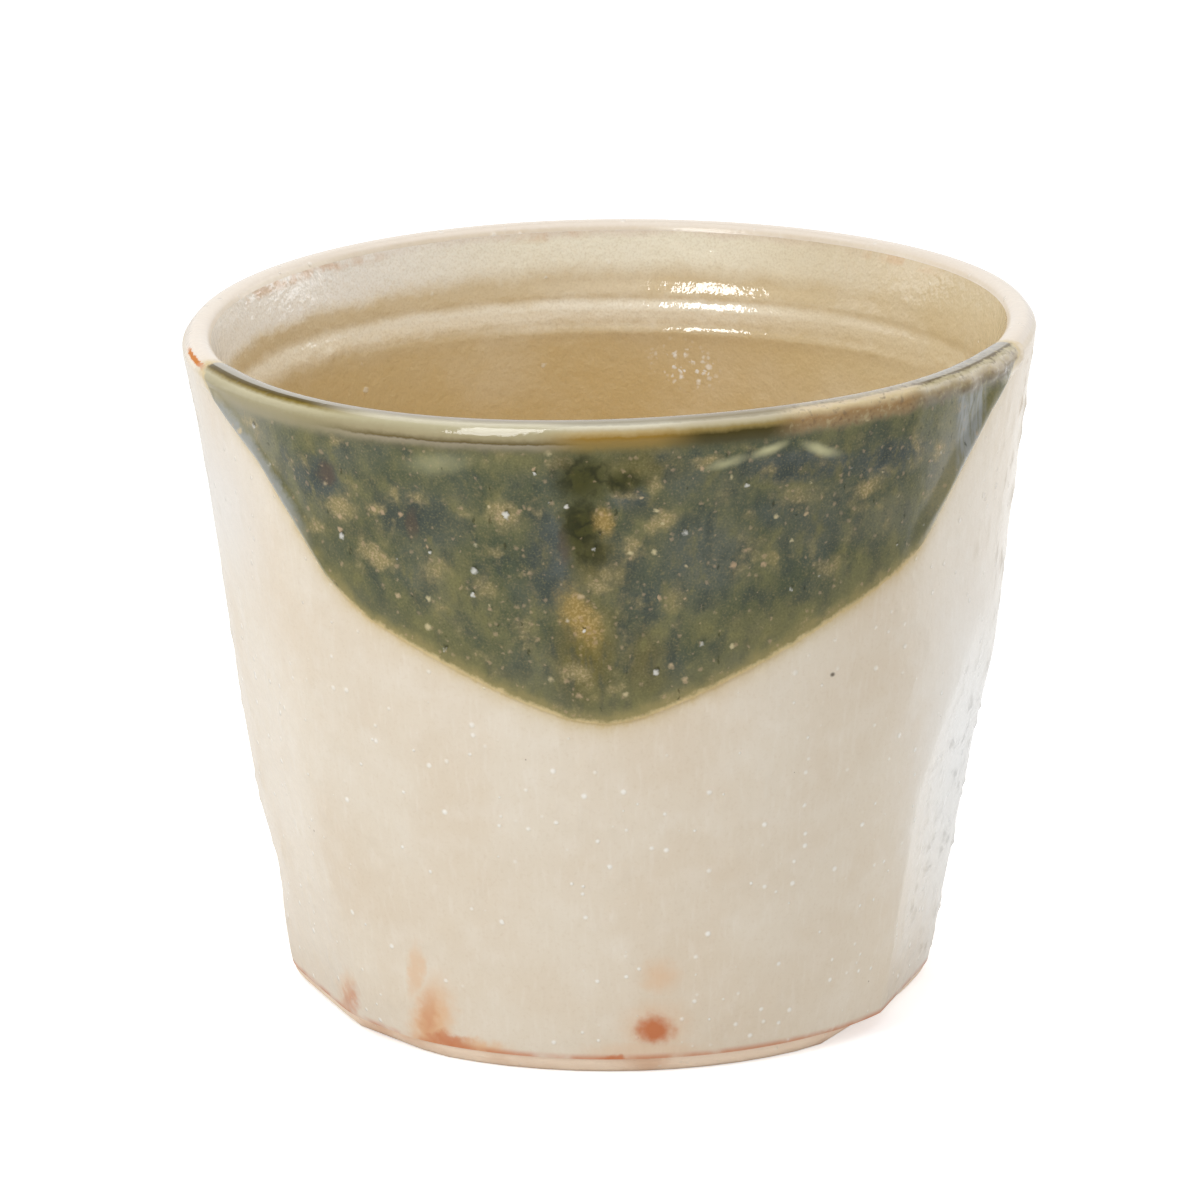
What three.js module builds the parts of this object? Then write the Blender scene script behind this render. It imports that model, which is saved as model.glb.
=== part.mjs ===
// A soba choko: a thrown stoneware cup, pared with a knife while the clay was firm. It is lined and coated with a cream
// glaze, and then dipped into a copper green glaze, which comes down over the front of the rim to a point.
// Lengths are in millimetres and angles in degrees. +Z is up and the origin is under the middle of the foot.
// A turn is an angle round the axis: 0 is the front, which faces -Y, and +90 is the right, which faces +X.
import * as THREE from 'three';

// Clay, before glazing
const mouthDiameter = 87.4;
const rimHeight = 70.4;
const footDiameter = 67.2;
const lipThickness = 2.3;
const lipCrown = 0.5;
const wallAtFoot = 5.2;
const floorThickness = 4.5;
const floorCorner = 7;

// Underside
const recessDiameter = 51;
const recessDepth = 2.5;
const recessSlope = 3;
const footBevel = 0.9;

// Thrown form: the wall swells at the belly, draws in under the lip, and the rim is a little uneven
const bellySwell = 0.85;
const bellyHeight = 36;
const bellySpan = 20;
const neckDraw = 0.2;
const neckHeight = 59;
const neckSpan = 5;
const rimTilt = 1.1;
const rimWarp = 0.3;
const rimDip = 0.6;
const dipAngle = 52;
const dipSpreadAngle = 30;

// Rings that the fingers left inside, under the rim
const ringDepth = 0.45;
const ringPitch = 4.2;
const firstRing = 5.6;
const ringRows = 5;

// Coats of glaze
const glazeThickness = 0.4;
const greenThickness = 0.35;
const glazeFeather = 0.12;
const glazeLine = 1.7;

// Lower edge of the green glaze. It flares out under the rim, comes down steeply to a shoulder on each side, and slants
// from there to a blunt tip at the front. The rises are heights gained for each degree of turn.
const tipHeight = 39;
const tipTurn = -0.8;
const tipBluntness = 5;
const slantRise = 0.325;
const leftShoulderAngle = 39;
const rightShoulderAngle = 48.5;
const steepRise = 0.9;
const flareAngle = 14;
const flareRise = 0.5;
const edgeBelowLip = 1.5;

// Strokes of the paring knife. Each is a flat cut that starts at a height, sinks in over its entry, and goes on down
// to the foot. Depths are below the round wall, at the end of the entry and at the foot.
const strokes = [
  { turn: -68, top: 66, entry: 20, depth: 1.0, footDepth: 2.0 },
  { turn: -88, top: 66, entry: 14, depth: 1.3, footDepth: 0.4 },
  { turn: -90, top: 20.5, entry: 5, depth: 1.7, footDepth: 0.5 },
  { turn: -49, top: 4, entry: 3.5, depth: 1.2, footDepth: 1.3 },
  { turn: 62, top: 7, entry: 6.5, depth: 2.0, footDepth: 2.1 },
  { turn: 72, top: 43.5, entry: 17, depth: 1.6, footDepth: 1.4 },
  { turn: 96, top: 24, entry: 3.5, depth: 0.3, footDepth: 0.2 },
  { turn: 98, top: 14.5, entry: 4, depth: 0.5, footDepth: 0.1 },
  { turn: 132, top: 44, entry: 12, depth: 0.9, footDepth: 1.8 },
  { turn: 172, top: 30, entry: 9, depth: 0.8, footDepth: 1.4 },
  { turn: -132, top: 52, entry: 16, depth: 1.0, footDepth: 1.9 },
];
const creaseSoftness = 0.3;
const paringFade = 8;

// Fineness of the facets
const columns = 60;
const levelRows = 7;
const levelShare = 0.8;
const slantRows = 3;
const highRows = 4;
const lipRows = 6;
const boreRows = 3;
const cornerRows = 3;

const mouthRadius = mouthDiameter / 2;
const footRadius = footDiameter / 2;
const recessRadius = recessDiameter / 2;
const lipRadius = lipThickness / 2;
const lipCentre = rimHeight - lipCrown;
const floorHeight = recessDepth + floorThickness;
const levelTop = levelShare * tipHeight;
const columnAngle = 360 / columns;
const { lerp, clamp, degToRad } = THREE.MathUtils;

const hill = (x, middle, span) => Math.exp(-(((x - middle) / span) ** 2));
const sine = (turn) => Math.sin(degToRad(turn));
const cosine = (turn) => Math.cos(degToRad(turn));
const steps = (count, make) => Array.from({ length: count }, (_, i) => make(i + 1));

// Thrown form

function outerRadius(z) {
  const taper = lerp(footRadius, mouthRadius, z / lipCentre);
  return taper + bellySwell * hill(z, bellyHeight, bellySpan) - neckDraw * hill(z, neckHeight, neckSpan);
}

function innerRadius(z) {
  return outerRadius(z) - lerp(wallAtFoot, lipThickness, z / lipCentre);
}

// The unevenness of the rim dies out down the wall, and the floor and the foot are level.
function lifted(z, turn) {
  const dip = rimDip * hill(turn, dipAngle, dipSpreadAngle);
  const lift = rimTilt * sine(turn) + rimWarp * sine(2 * turn) - dip;
  const share = Math.max(0, (z - floorHeight) / (rimHeight - floorHeight));
  return z + lift * share ** 2;
}

// Depth of the knife's cuts below the round wall. A flat cut is deepest at its middle and dies out at its creases.
function paring(turn, z) {
  let deepest = 0;
  for (const stroke of strokes) {
    const aside = Math.abs(((turn - stroke.turn + 540) % 360) - 180);
    if (aside < 60) {
      const landing = stroke.top - stroke.entry;
      const sunk = (stroke.depth * (stroke.top - z)) / stroke.entry;
      const below = lerp(stroke.footDepth, stroke.depth, z / landing);
      const plane = outerRadius(z) - (z > landing ? sunk : below);
      const cut = outerRadius(z) - plane / cosine(aside);
      deepest = Math.max(deepest, (cut + Math.hypot(cut, creaseSoftness)) / 2);
    }
  }
  return deepest * clamp((lipCentre - z) / paringFade, 0, 1);
}

// Height of the green glaze's lower edge, which would go on rising past the rim.
function risingEdge(turn) {
  const aside = (turn > 180 ? turn - 360 : turn) - tipTurn;
  const slant = Math.hypot(aside, tipBluntness) - tipBluntness;
  const pastShoulder = Math.max(0, aside - rightShoulderAngle, -aside - leftShoulderAngle);
  const flared = Math.max(0, pastShoulder - flareAngle);
  return tipHeight + slantRise * slant + (steepRise - slantRise) * pastShoulder + (flareRise - steepRise) * flared;
}

function greenEdge(turn) {
  return Math.min(risingEdge(turn), lipCentre - edgeBelowLip);
}

// Stations. A station is a place on the cup's section, as a function of the turn: the radius and height of the clay
// there, and the direction in which a coat of glaze stands off it.

const station = (r, z, outward, upward) => (turn) => ({ r, z: lifted(z, turn), outward, upward });

const wallStation = (heightAt) => (turn) => {
  const z = heightAt(turn);
  return { r: outerRadius(z) - paring(turn, z), z: lifted(z, turn), outward: 1, upward: 0 };
};

const footStation = (turn) => ({ r: footRadius - footBevel - paring(turn, 0), z: 0, outward: 1, upward: 0 });

// The lip is an oval, flatter than it is wide.
function lipStation(angle) {
  const r = outerRadius(lipCentre) - lipRadius + lipRadius * cosine(angle);
  const normal = new THREE.Vector2(cosine(angle) / lipRadius, sine(angle) / lipCrown).normalize();
  return station(r, lipCentre + lipCrown * sine(angle), normal.x, normal.y);
}

function boreStation(z, ring) {
  return station(innerRadius(z) + ring, z, -1, 0);
}

function cornerStation(angle) {
  const height = floorHeight + floorCorner * (1 - sine(angle));
  const middle = innerRadius(floorHeight + floorCorner) - floorCorner;
  return station(middle + floorCorner * cosine(angle), height, -cosine(angle), sine(angle));
}

const raised = (at, thickness) => (turn) => {
  const p = at(turn);
  return { ...p, r: p.r + p.outward * thickness, z: p.z + p.upward * thickness };
};

// The section, from the middle of the underside, over the lip, to the middle of the floor

const underside = [
  station(0, recessDepth, 0, -1),
  station(recessRadius - recessSlope, recessDepth, 0, -1),
  station(recessRadius, 0, 0, -1),
  footStation,
  wallStation(() => footBevel),
];
const edgeStation = wallStation(greenEdge);
const belowEdge = [
  wallStation(() => glazeLine),
  ...steps(levelRows, (i) => wallStation(() => lerp(glazeLine, levelTop, i / levelRows))),
  ...steps(slantRows - 1, (i) => wallStation((turn) => lerp(levelTop, greenEdge(turn), i / slantRows))),
];
const aboveEdge = [
  ...steps(highRows, (i) => wallStation((turn) => lerp(greenEdge(turn), lipCentre, i / highRows))),
  ...steps(lipRows, (i) => lipStation((180 * i) / lipRows)),
];
const outside = [...belowEdge, edgeStation, ...aboveEdge];

const ringHeight = (i) => rimHeight - firstRing - ((i - 1) * ringPitch) / 2;
const boreBottom = floorHeight + floorCorner;
const inside = [
  ...steps(ringRows, (i) => boreStation(ringHeight(i), ((i % 2 ? -1 : 1) * ringDepth) / i)),
  ...steps(boreRows, (i) => boreStation(lerp(ringHeight(ringRows), boreBottom, i / boreRows), 0)),
  ...steps(cornerRows, (i) => cornerStation((90 * i) / cornerRows)),
  station(0, floorHeight, 0, 1),
];

// Solids

function placed(at, column) {
  const turn = columnAngle * ((column + columns) % columns);
  const p = at(turn);
  return new THREE.Vector3(p.r * sine(turn), -p.r * cosine(turn), p.z);
}

// Turns a section round the axis, with the section of each column taken at its own turn.
function turnedSolid(section) {
  const front = section.map((at) => new THREE.Vector2(at(0).r, at(0).z));
  const geometry = new THREE.LatheGeometry(front, columns);
  for (let column = 0; column <= columns; column++) {
    section.forEach((at, row) => {
      const p = placed(at, column);
      geometry.attributes.position.setXYZ(column * section.length + row, p.x, p.y, p.z);
    });
  }
  return geometry;
}

// Splits the quads of a stretch of the section along their other diagonal, so that a coat whose section runs back
// along the face beneath it has the same triangles as that face.
function matchFaceBeneath(geometry, sectionLength, firstRow, lastRow) {
  for (let column = 0; column < columns; column++) {
    for (let row = firstRow; row < lastRow; row++) {
      const near = column * sectionLength + row;
      const far = near + sectionLength;
      const corners = [near, far, far + 1, near, far + 1, near + 1];
      const start = 6 * (column * (sectionLength - 1) + row);
      corners.forEach((corner, i) => geometry.index.setX(start + i, corner));
    }
  }
  return geometry;
}

function clayBody() {
  return turnedSolid([...underside, ...outside, ...inside]);
}

function outerGlaze() {
  const free = outside.map((at, row) => raised(at, row === 0 ? glazeFeather : glazeThickness));
  const section = [...free, ...[...outside].reverse(), free[0]];
  return matchFaceBeneath(turnedSolid(section), section.length, free.length - 1, section.length - 2);
}

function innerGlaze() {
  const lined = [outside.at(-1), ...inside];
  const section = [...[...lined].reverse(), ...lined.map((at) => raised(at, glazeThickness))];
  return matchFaceBeneath(turnedSolid(section), section.length, 0, lined.length - 1);
}

// Counts the columns from the front, towards one side, to the first one at which the green's edge passes the rim.
function greenReach(side) {
  let reach = 1;
  while (reach < columns / 2 - 1 && risingEdge((360 + side * columnAngle * reach) % 360) < rimHeight) {
    reach += 1;
  }
  return reach;
}

// Lays a thin box over the outer coat: its width goes round the cup, its height goes up the wall and over the lip,
// and its back is the face of the coat. The box thins out to a feather at its edges.
function greenGlaze() {
  const rows = [edgeStation, ...aboveEdge];
  const leftReach = greenReach(-1);
  const width = leftReach + greenReach(1);
  const height = rows.length - 1;
  const geometry = new THREE.BoxGeometry(width, height, 1, width, height, 1);
  const position = geometry.attributes.position;
  for (let i = 0; i < position.count; i++) {
    const across = Math.round(position.getX(i) + width / 2);
    const row = Math.round(position.getY(i) + height / 2);
    const atEdge = across === 0 || across === width || row === 0 || row === height;
    const coat = atEdge ? glazeFeather : greenThickness;
    const thickness = position.getZ(i) > 0 ? glazeThickness + coat : glazeThickness;
    const p = placed(raised(rows[row], thickness), across - leftReach);
    position.setXYZ(i, p.x, p.y, p.z);
  }
  return geometry;
}

const pieces = [
  { name: 'clay_body', geometry: clayBody(), color: 0xb59a7c, roughness: 0.9 },
  { name: 'inner_glaze', geometry: innerGlaze(), color: 0xbfa98c, roughness: 0.25 },
  { name: 'outer_glaze', geometry: outerGlaze(), color: 0xd9c9b4, roughness: 0.4 },
  { name: 'green_glaze', geometry: greenGlaze(), color: 0x5f6a55, roughness: 0.2 },
];

const cup = new THREE.Group();
cup.name = 'soba_choko';
for (const { name, geometry, color, roughness } of pieces) {
  const material = new THREE.MeshStandardMaterial({ color, roughness, metalness: 0 });
  const mesh = new THREE.Mesh(geometry, material);
  mesh.name = name;
  cup.add(mesh);
}

export default cup;
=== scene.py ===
"""Looks of a soba choko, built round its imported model.

The cup is a pared stoneware body under three coats of glaze: a tan liner inside, cream outside, and a
green one that was dipped over the front of the rim. Each piece is a finer copy of one node of the frame.
Lengths are in millimetres, and MM turns them to metres. A turn is an angle round the axis in degrees: 0 is
the front and +90 is the right.
"""

import logging
import math
from dataclasses import dataclass
from dataclasses import field
from enum import Enum
from typing import ClassVar

import bmesh
import bpy
import numpy as np
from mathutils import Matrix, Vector


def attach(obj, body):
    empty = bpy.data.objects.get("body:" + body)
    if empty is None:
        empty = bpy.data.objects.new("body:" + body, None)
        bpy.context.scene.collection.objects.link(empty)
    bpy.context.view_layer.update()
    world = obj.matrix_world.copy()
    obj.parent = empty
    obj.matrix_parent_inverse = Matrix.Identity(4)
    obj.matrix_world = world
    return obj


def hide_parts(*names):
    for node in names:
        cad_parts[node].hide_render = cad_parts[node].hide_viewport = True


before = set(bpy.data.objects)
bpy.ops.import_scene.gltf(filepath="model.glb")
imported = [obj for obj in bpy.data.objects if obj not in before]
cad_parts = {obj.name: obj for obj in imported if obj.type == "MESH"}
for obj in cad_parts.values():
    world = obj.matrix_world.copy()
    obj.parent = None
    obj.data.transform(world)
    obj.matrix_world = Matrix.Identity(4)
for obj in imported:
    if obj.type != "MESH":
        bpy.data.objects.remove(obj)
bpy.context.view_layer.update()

MM = 0.001
LOG = logging.getLogger("soba_choko")

# The least length that is divided by, the distance at which vertices merge, and the margin of a level edge.
LEAST = 0.001
MERGE_DISTANCE = 0.001
LEVEL_MARGIN = 0.01

# How far two triangles may differ from a flat and a square quad, and where shading breaks, in degrees.
QUAD_BEND = 60
QUAD_SKEW = 80
SHARP_ANGLE = 50

Colour = tuple[float, float, float, float]
Triple = tuple[float, float, float]
Bands = tuple[tuple[float, Colour], ...]
Socket = bpy.types.NodeSocket
Value = float | tuple[float, ...] | Socket


def paint(red: int, green: int, blue: int) -> Colour:
    """Turns a colour as a screen shows it into the linear one that shaders take.

    Args:
        red: the red channel, up to 255.
        green: the green channel, up to 255.
        blue: the blue channel, up to 255.

    Returns:
        The linear colour, with full alpha.
    """
    shares = [channel / 255 for channel in (red, green, blue)]
    linear = [s / 12.92 if s <= 0.04045 else ((s + 0.055) / 1.055) ** 2.4 for s in shares]
    return (*linear, 1.0)


# Bench work on meshes


def take_up(piece: bpy.types.Object) -> None:
    """Makes a piece the active object and the only selected one.

    Args:
        piece: the piece.
    """
    bpy.ops.object.select_all(action="DESELECT")
    piece.select_set(True)
    bpy.context.view_layer.objects.active = piece


def points_of(piece: bpy.types.Object) -> np.ndarray:
    """Reads the vertices of a piece.

    Args:
        piece: the piece.

    Returns:
        Their places in millimetres, one per row.
    """
    places = np.empty(3 * len(piece.data.vertices), np.float32)
    piece.data.vertices.foreach_get("co", places)
    return places.reshape(-1, 3).astype(float) / MM


def faces_of(piece: bpy.types.Object) -> tuple[np.ndarray, np.ndarray]:
    """Reads the faces of a piece.

    Args:
        piece: the piece.

    Returns:
        Their middles, in millimetres, and their normals.
    """
    middles = np.empty(3 * len(piece.data.polygons), np.float32)
    normals = np.empty_like(middles)
    piece.data.polygons.foreach_get("center", middles)
    piece.data.polygons.foreach_get("normal", normals)
    return middles.reshape(-1, 3).astype(float) / MM, normals.reshape(-1, 3).astype(float)


def turns_of(points: np.ndarray) -> np.ndarray:
    """Gives the turns of points, from -180 to 180 degrees."""
    return np.degrees(np.arctan2(points[:, 0], -points[:, 1]))


def radii_of(points: np.ndarray) -> np.ndarray:
    """Gives the distances of points from the axis."""
    return np.hypot(points[:, 0], points[:, 1])


def copy_of(node: str, name: str) -> bpy.types.Object:
    """Copies a node of the frame and makes quads of its loose triangles.

    Args:
        node: the node's name.
        name: the copy's name.

    Returns:
        The copy, with its doubles merged.
    """
    piece = bpy.data.objects.new(name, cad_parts[node].data.copy())
    piece.data.name = name
    piece.data.materials.clear()
    bpy.context.collection.objects.link(piece)
    take_up(piece)
    bpy.ops.mesh.customdata_custom_splitnormals_clear()
    bpy.ops.object.mode_set(mode="EDIT")
    bpy.ops.mesh.select_all(action="SELECT")
    bpy.ops.mesh.remove_doubles(threshold=MERGE_DISTANCE * MM)
    bend, skew = math.radians(QUAD_BEND), math.radians(QUAD_SKEW)
    bpy.ops.mesh.tris_convert_to_quads(face_threshold=bend, shape_threshold=skew)
    bpy.ops.object.mode_set(mode="OBJECT")
    return piece


def open_up(piece: bpy.types.Object, faces: bool) -> bmesh.types.BMesh:
    """Goes into edit mode on a piece, with nothing selected.

    Args:
        piece: the piece.
        faces: whether faces will be selected, and not edges.

    Returns:
        The mesh that is edited.
    """
    take_up(piece)
    bpy.context.tool_settings.mesh_select_mode = (False, not faces, faces)
    bpy.ops.object.mode_set(mode="EDIT")
    bpy.ops.mesh.select_all(action="DESELECT")
    return bmesh.from_edit_mesh(piece.data)


def keep_faces(piece: bpy.types.Object, kept: np.ndarray) -> None:
    """Deletes the faces of a piece that aren't kept.

    Args:
        piece: the piece.
        kept: for each face, whether it stays.
    """
    mesh = open_up(piece, faces=True)
    for face, stays in zip(mesh.faces, kept):
        face.select_set(not stays)
    bmesh.update_edit_mesh(piece.data)
    bpy.ops.mesh.delete(type="FACE")
    bpy.ops.object.mode_set(mode="OBJECT")


def refine(piece: bpy.types.Object, levels: int) -> None:
    """Rounds a piece's facets off with a subdivision surface.

    Args:
        piece: the piece.
        levels: how many times its faces are divided.
    """
    take_up(piece)
    rounding = piece.modifiers.new("rounding", "SUBSURF")
    rounding.levels = levels
    rounding.render_levels = levels
    rounding.boundary_smooth = "PRESERVE_CORNERS"
    bpy.ops.object.modifier_apply(modifier=rounding.name)


def crease_level_edges(piece: bpy.types.Object, height: float) -> None:
    """Keeps the edges that lie at one height sharp when the piece is rounded.

    Args:
        piece: the piece.
        height: the height of the edges.
    """
    mesh = open_up(piece, faces=False)
    for edge in mesh.edges:
        aside = [abs(vertex.co.z - height * MM) for vertex in edge.verts]
        edge.select_set(max(aside) < LEVEL_MARGIN * MM)
    bmesh.update_edit_mesh(piece.data)
    bpy.ops.transform.edge_crease(value=1)
    bpy.ops.object.mode_set(mode="OBJECT")


def close_rim(piece: bpy.types.Object, low: float, high: float) -> None:
    """Bridges the open edges of a shell's two sides.

    Args:
        piece: the shell, with its two sides joined in one object.
        low: the lowest height at which open edges are taken.
        high: the highest one.
    """
    mesh = open_up(piece, faces=False)
    for edge in mesh.edges:
        level = all(low * MM < vertex.co.z < high * MM for vertex in edge.verts)
        edge.select_set(edge.is_boundary and level)
    bmesh.update_edit_mesh(piece.data)
    bpy.ops.mesh.bridge_edge_loops()
    bpy.ops.object.mode_set(mode="OBJECT")


def push_out(
    piece: bpy.types.Object, points: np.ndarray, ways: np.ndarray, lifts: np.ndarray | float = 0.0
) -> None:
    """Moves a piece's vertices straight out from the axis, and up.

    Args:
        piece: the piece.
        points: its vertices.
        ways: how far each one moves out, negative towards the axis.
        lifts: how far each one moves up.
    """
    radii = np.maximum(radii_of(points), LEAST)
    moved = points.copy()
    moved[:, :2] *= (1 + ways / radii)[:, None]
    moved[:, 2] += lifts
    piece.data.vertices.foreach_set("co", (moved * MM).astype(np.float32).ravel())
    piece.data.update()


def rising(values: np.ndarray, start: float, way: float) -> np.ndarray:
    """Is 0 up to a start, and rises to 1 over a way above it."""
    return np.clip((values - start) / way, 0, 1)


def between(turns: np.ndarray, first: float, last: float, fade: float) -> np.ndarray:
    """Is 1 between two turns, and falls to 0 over a fade inside each of them."""
    return rising(turns, first, fade) * rising(-turns, -last, fade)


def write_attribute(piece: bpy.types.Object, name: str, values: np.ndarray) -> None:
    """Writes a number for each vertex, for the piece's material to read.

    Args:
        piece: the piece.
        name: the attribute's name.
        values: the numbers.
    """
    attribute = piece.data.attributes.new(name, "FLOAT", "POINT")
    attribute.data.foreach_set("value", values.astype(np.float32))


@dataclass(frozen=True)
class Survey:
    """Lines that the coats and finishes follow, read from the frame.

    Fields:
        rim_turns: turns at which the top of the lip was read.
        rim_radii: the radius of the lip's top at those turns.
        rim_heights: the height of the lip's top at those turns.
        lip_radius: half the width of the lip, over its glaze.
        lip_crown: the height of the lip's rounding, over its glaze.
        wall_heights: heights at which the round wall was read, at the front, which no knife stroke reaches.
        wall_radii: the radius of the wall at those heights.
        edge_turns: turns at which the lower edge of the green was read.
        edge_heights: the height of that edge.
        EDGE_ENDS: how far below the side of the lip the edge has to lie to be read.
        DIGITS: the decimals to which turns and heights are sorted.
        NEAR: how far a vertex may lie from a height that is read.
    """

    rim_turns: np.ndarray
    rim_radii: np.ndarray
    rim_heights: np.ndarray
    lip_radius: float
    lip_crown: float
    wall_heights: np.ndarray
    wall_radii: np.ndarray
    edge_turns: np.ndarray
    edge_heights: np.ndarray
    EDGE_ENDS: ClassVar[float] = 1.6
    DIGITS: ClassVar[int] = 1
    NEAR: ClassVar[float] = 0.1

    @classmethod
    def read(cls) -> "Survey":
        """Reads the lines from the outer and the green coat of the frame.

        Returns:
            The lines.
        """
        cream = points_of(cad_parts["outer_glaze"])
        radii = radii_of(cream)
        columns = np.round(turns_of(cream) % 360, cls.DIGITS) % 360
        rim_turns = np.unique(columns)
        members = [np.flatnonzero(columns == turn) for turn in rim_turns]
        tops = [column[np.argmax(cream[column, 2])] for column in members]
        sides = [column[np.argmax(radii[column])] for column in members]
        front_heights, front_radii = cream[members[0], 2], radii[members[0]]
        levels = np.unique(np.round(front_heights, cls.DIGITS))
        walls = [front_radii[np.abs(front_heights - level) < cls.NEAR].max() for level in levels]
        green = points_of(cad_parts["green_glaze"])
        green_columns = np.round(turns_of(green), cls.DIGITS)
        edge_turns = np.unique(green_columns)
        edges = np.array([green[green_columns == turn, 2].min() for turn in edge_turns])
        side_heights = np.interp(edge_turns, rim_turns, cream[sides, 2], period=360)
        read = edges < side_heights - cls.EDGE_ENDS
        return cls(
            rim_turns=rim_turns,
            rim_radii=radii[tops],
            rim_heights=cream[tops, 2],
            lip_radius=float(np.mean(radii[sides] - radii[tops])),
            lip_crown=float(np.mean(cream[tops, 2] - cream[sides, 2])),
            wall_heights=levels,
            wall_radii=np.array(walls),
            edge_turns=edge_turns[read],
            edge_heights=edges[read],
        )

    def lip_middle(self, points: np.ndarray) -> tuple[np.ndarray, np.ndarray]:
        """Finds the middle of the lip's rounding.

        Args:
            points: the points at whose turns it is found.

        Returns:
            Its radii and its heights.
        """
        turns = turns_of(points)
        radii = np.interp(turns, self.rim_turns, self.rim_radii, period=360)
        heights = np.interp(turns, self.rim_turns, self.rim_heights, period=360)
        return radii, heights - self.lip_crown

    def from_lip(self, points: np.ndarray, side: int) -> np.ndarray:
        """Measures how far points lie from the top of the lip.

        Args:
            points: the points.
            side: 1 for points of the outside, and -1 for points of the inside.

        Returns:
            The way across the lip and down, negative on the inside.
        """
        middle_radii, middle_heights = self.lip_middle(points)
        across = radii_of(points) - middle_radii
        above = points[:, 2] - middle_heights
        drop = self.lip_crown - np.minimum(above, self.lip_crown)
        way = np.minimum(np.abs(across), self.lip_radius) + drop
        return np.where(above > 0, np.sign(across), side) * way

    def below_lip(self, points: np.ndarray) -> np.ndarray:
        """Measures how far points lie below the top of the lip."""
        return self.lip_middle(points)[1] + self.lip_crown - points[:, 2]

    def wall_radius(self, heights: np.ndarray) -> np.ndarray:
        """Gives the radius of the round wall, over its glaze, at heights."""
        return np.interp(heights, self.wall_heights, self.wall_radii)

    def above_edge(self, points: np.ndarray) -> np.ndarray:
        """Measures how far points lie above the lower edge of the green, square to the edge.

        Args:
            points: the points.

        Returns:
            The distances, negative below the edge and all round the back.
        """
        turns = turns_of(points)
        first, last = self.edge_turns[0], self.edge_turns[-1]
        slopes = np.gradient(self.edge_heights, self.edge_turns)
        heights = np.interp(turns, self.edge_turns, self.edge_heights)
        heights += slopes[0] * np.minimum(turns - first, 0) + slopes[-1] * np.maximum(turns - last, 0)
        arc = np.radians(radii_of(points))
        rise = np.interp(turns, self.edge_turns, slopes) / np.maximum(arc, LEAST)
        return (points[:, 2] - heights) / np.hypot(1, rise)


@dataclass(frozen=True)
class Stroke:
    """A flat cut of the paring knife, with a crisp edge, from its top down to the foot.

    Fields:
        turn: the turn that the cut faces.
        top: the height at which the knife went in.
        entry: the height over which it sank in.
        depth: how deep it then was below the round wall.
        foot_depth: how deep it was at the foot.
        first: the turn from which the wall is drawn anew.
        last: the turn up to which it is drawn anew.
        fade: the angle and the height over which the new wall meets the old.
        softness: how round the edge of the cut is.
    """

    turn: float
    top: float
    entry: float
    depth: float
    foot_depth: float
    first: float
    last: float
    fade: float = 5.0
    softness: float = 0.06

    def shape(self, piece: bpy.types.Object, survey: Survey) -> None:
        """Cuts the free side of a coat.

        Args:
            piece: the free side.
            survey: the lines that give the round wall.
        """
        points = points_of(piece)
        turns = turns_of(points)
        heights = points[:, 2]
        landing = self.top - self.entry
        sunk = self.depth * (self.top - heights) / self.entry
        below = self.foot_depth + (self.depth - self.foot_depth) * heights / landing
        wall = survey.wall_radius(heights)
        flat = (wall - np.where(heights > landing, sunk, below)) / np.cos(np.radians(turns - self.turn))
        cut = wall - flat
        pared = wall - (cut + np.hypot(cut, self.softness)) / 2
        share = between(turns, self.first, self.last, self.fade)
        share *= rising(-heights, -self.top - self.fade, self.fade)
        push_out(piece, points, share * (pared - radii_of(points)))


@dataclass(frozen=True)
class Bevel:
    """The slope of the lip's outer side, and the crease below it, where the glaze gathers.

    Fields:
        rise: how far above the level the slope faces, in degrees.
        depth: how far it cuts into the round of the lip.
        softness: how round its edges are.
        crease: the way from the top of the lip to the crease.
        groove: how deep the crease is.
        width: half the width of the crease.
        bead: how far the glaze stands out above the crease.
        bead_way: the way from the top of the lip to the bead.
        bead_width: half the width of the bead.
        first: the turn at which the bead and the crease start.
        last: the turn at which they end.
        fade: the angle over which they start and end.
    """

    rise: float
    depth: float
    softness: float
    crease: float = 3.3
    groove: float = 0.0
    width: float = 0.3
    bead: float = 0.0
    bead_way: float = 2.8
    bead_width: float = 0.55
    first: float = -32.0
    last: float = 14.0
    fade: float = 8.0

    def shape(self, piece: bpy.types.Object, survey: Survey) -> None:
        """Cuts the slope and the crease into the free side of a coat, and raises the bead.

        Args:
            piece: the free side.
            survey: the lines that give the lip.
        """
        points = points_of(piece)
        middle_radii, middle_heights = survey.lip_middle(points)
        out, up = math.cos(math.radians(self.rise)), math.sin(math.radians(self.rise))
        reach = out * (radii_of(points) - middle_radii) + up * (points[:, 2] - middle_heights)
        excess = reach - reach.max() + self.depth
        cut = (excess + np.hypot(excess, self.softness)) / 2
        way = survey.from_lip(points, 1)
        sunk = self.groove * np.exp(-(((way - self.crease) / self.width) ** 2))
        raised = self.bead * np.exp(-(((way - self.bead_way) / self.bead_width) ** 2))
        share = between(turns_of(points), self.first, self.last, self.fade)
        push_out(piece, points, share * (raised - sunk) - out * cut, -up * cut)


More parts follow.
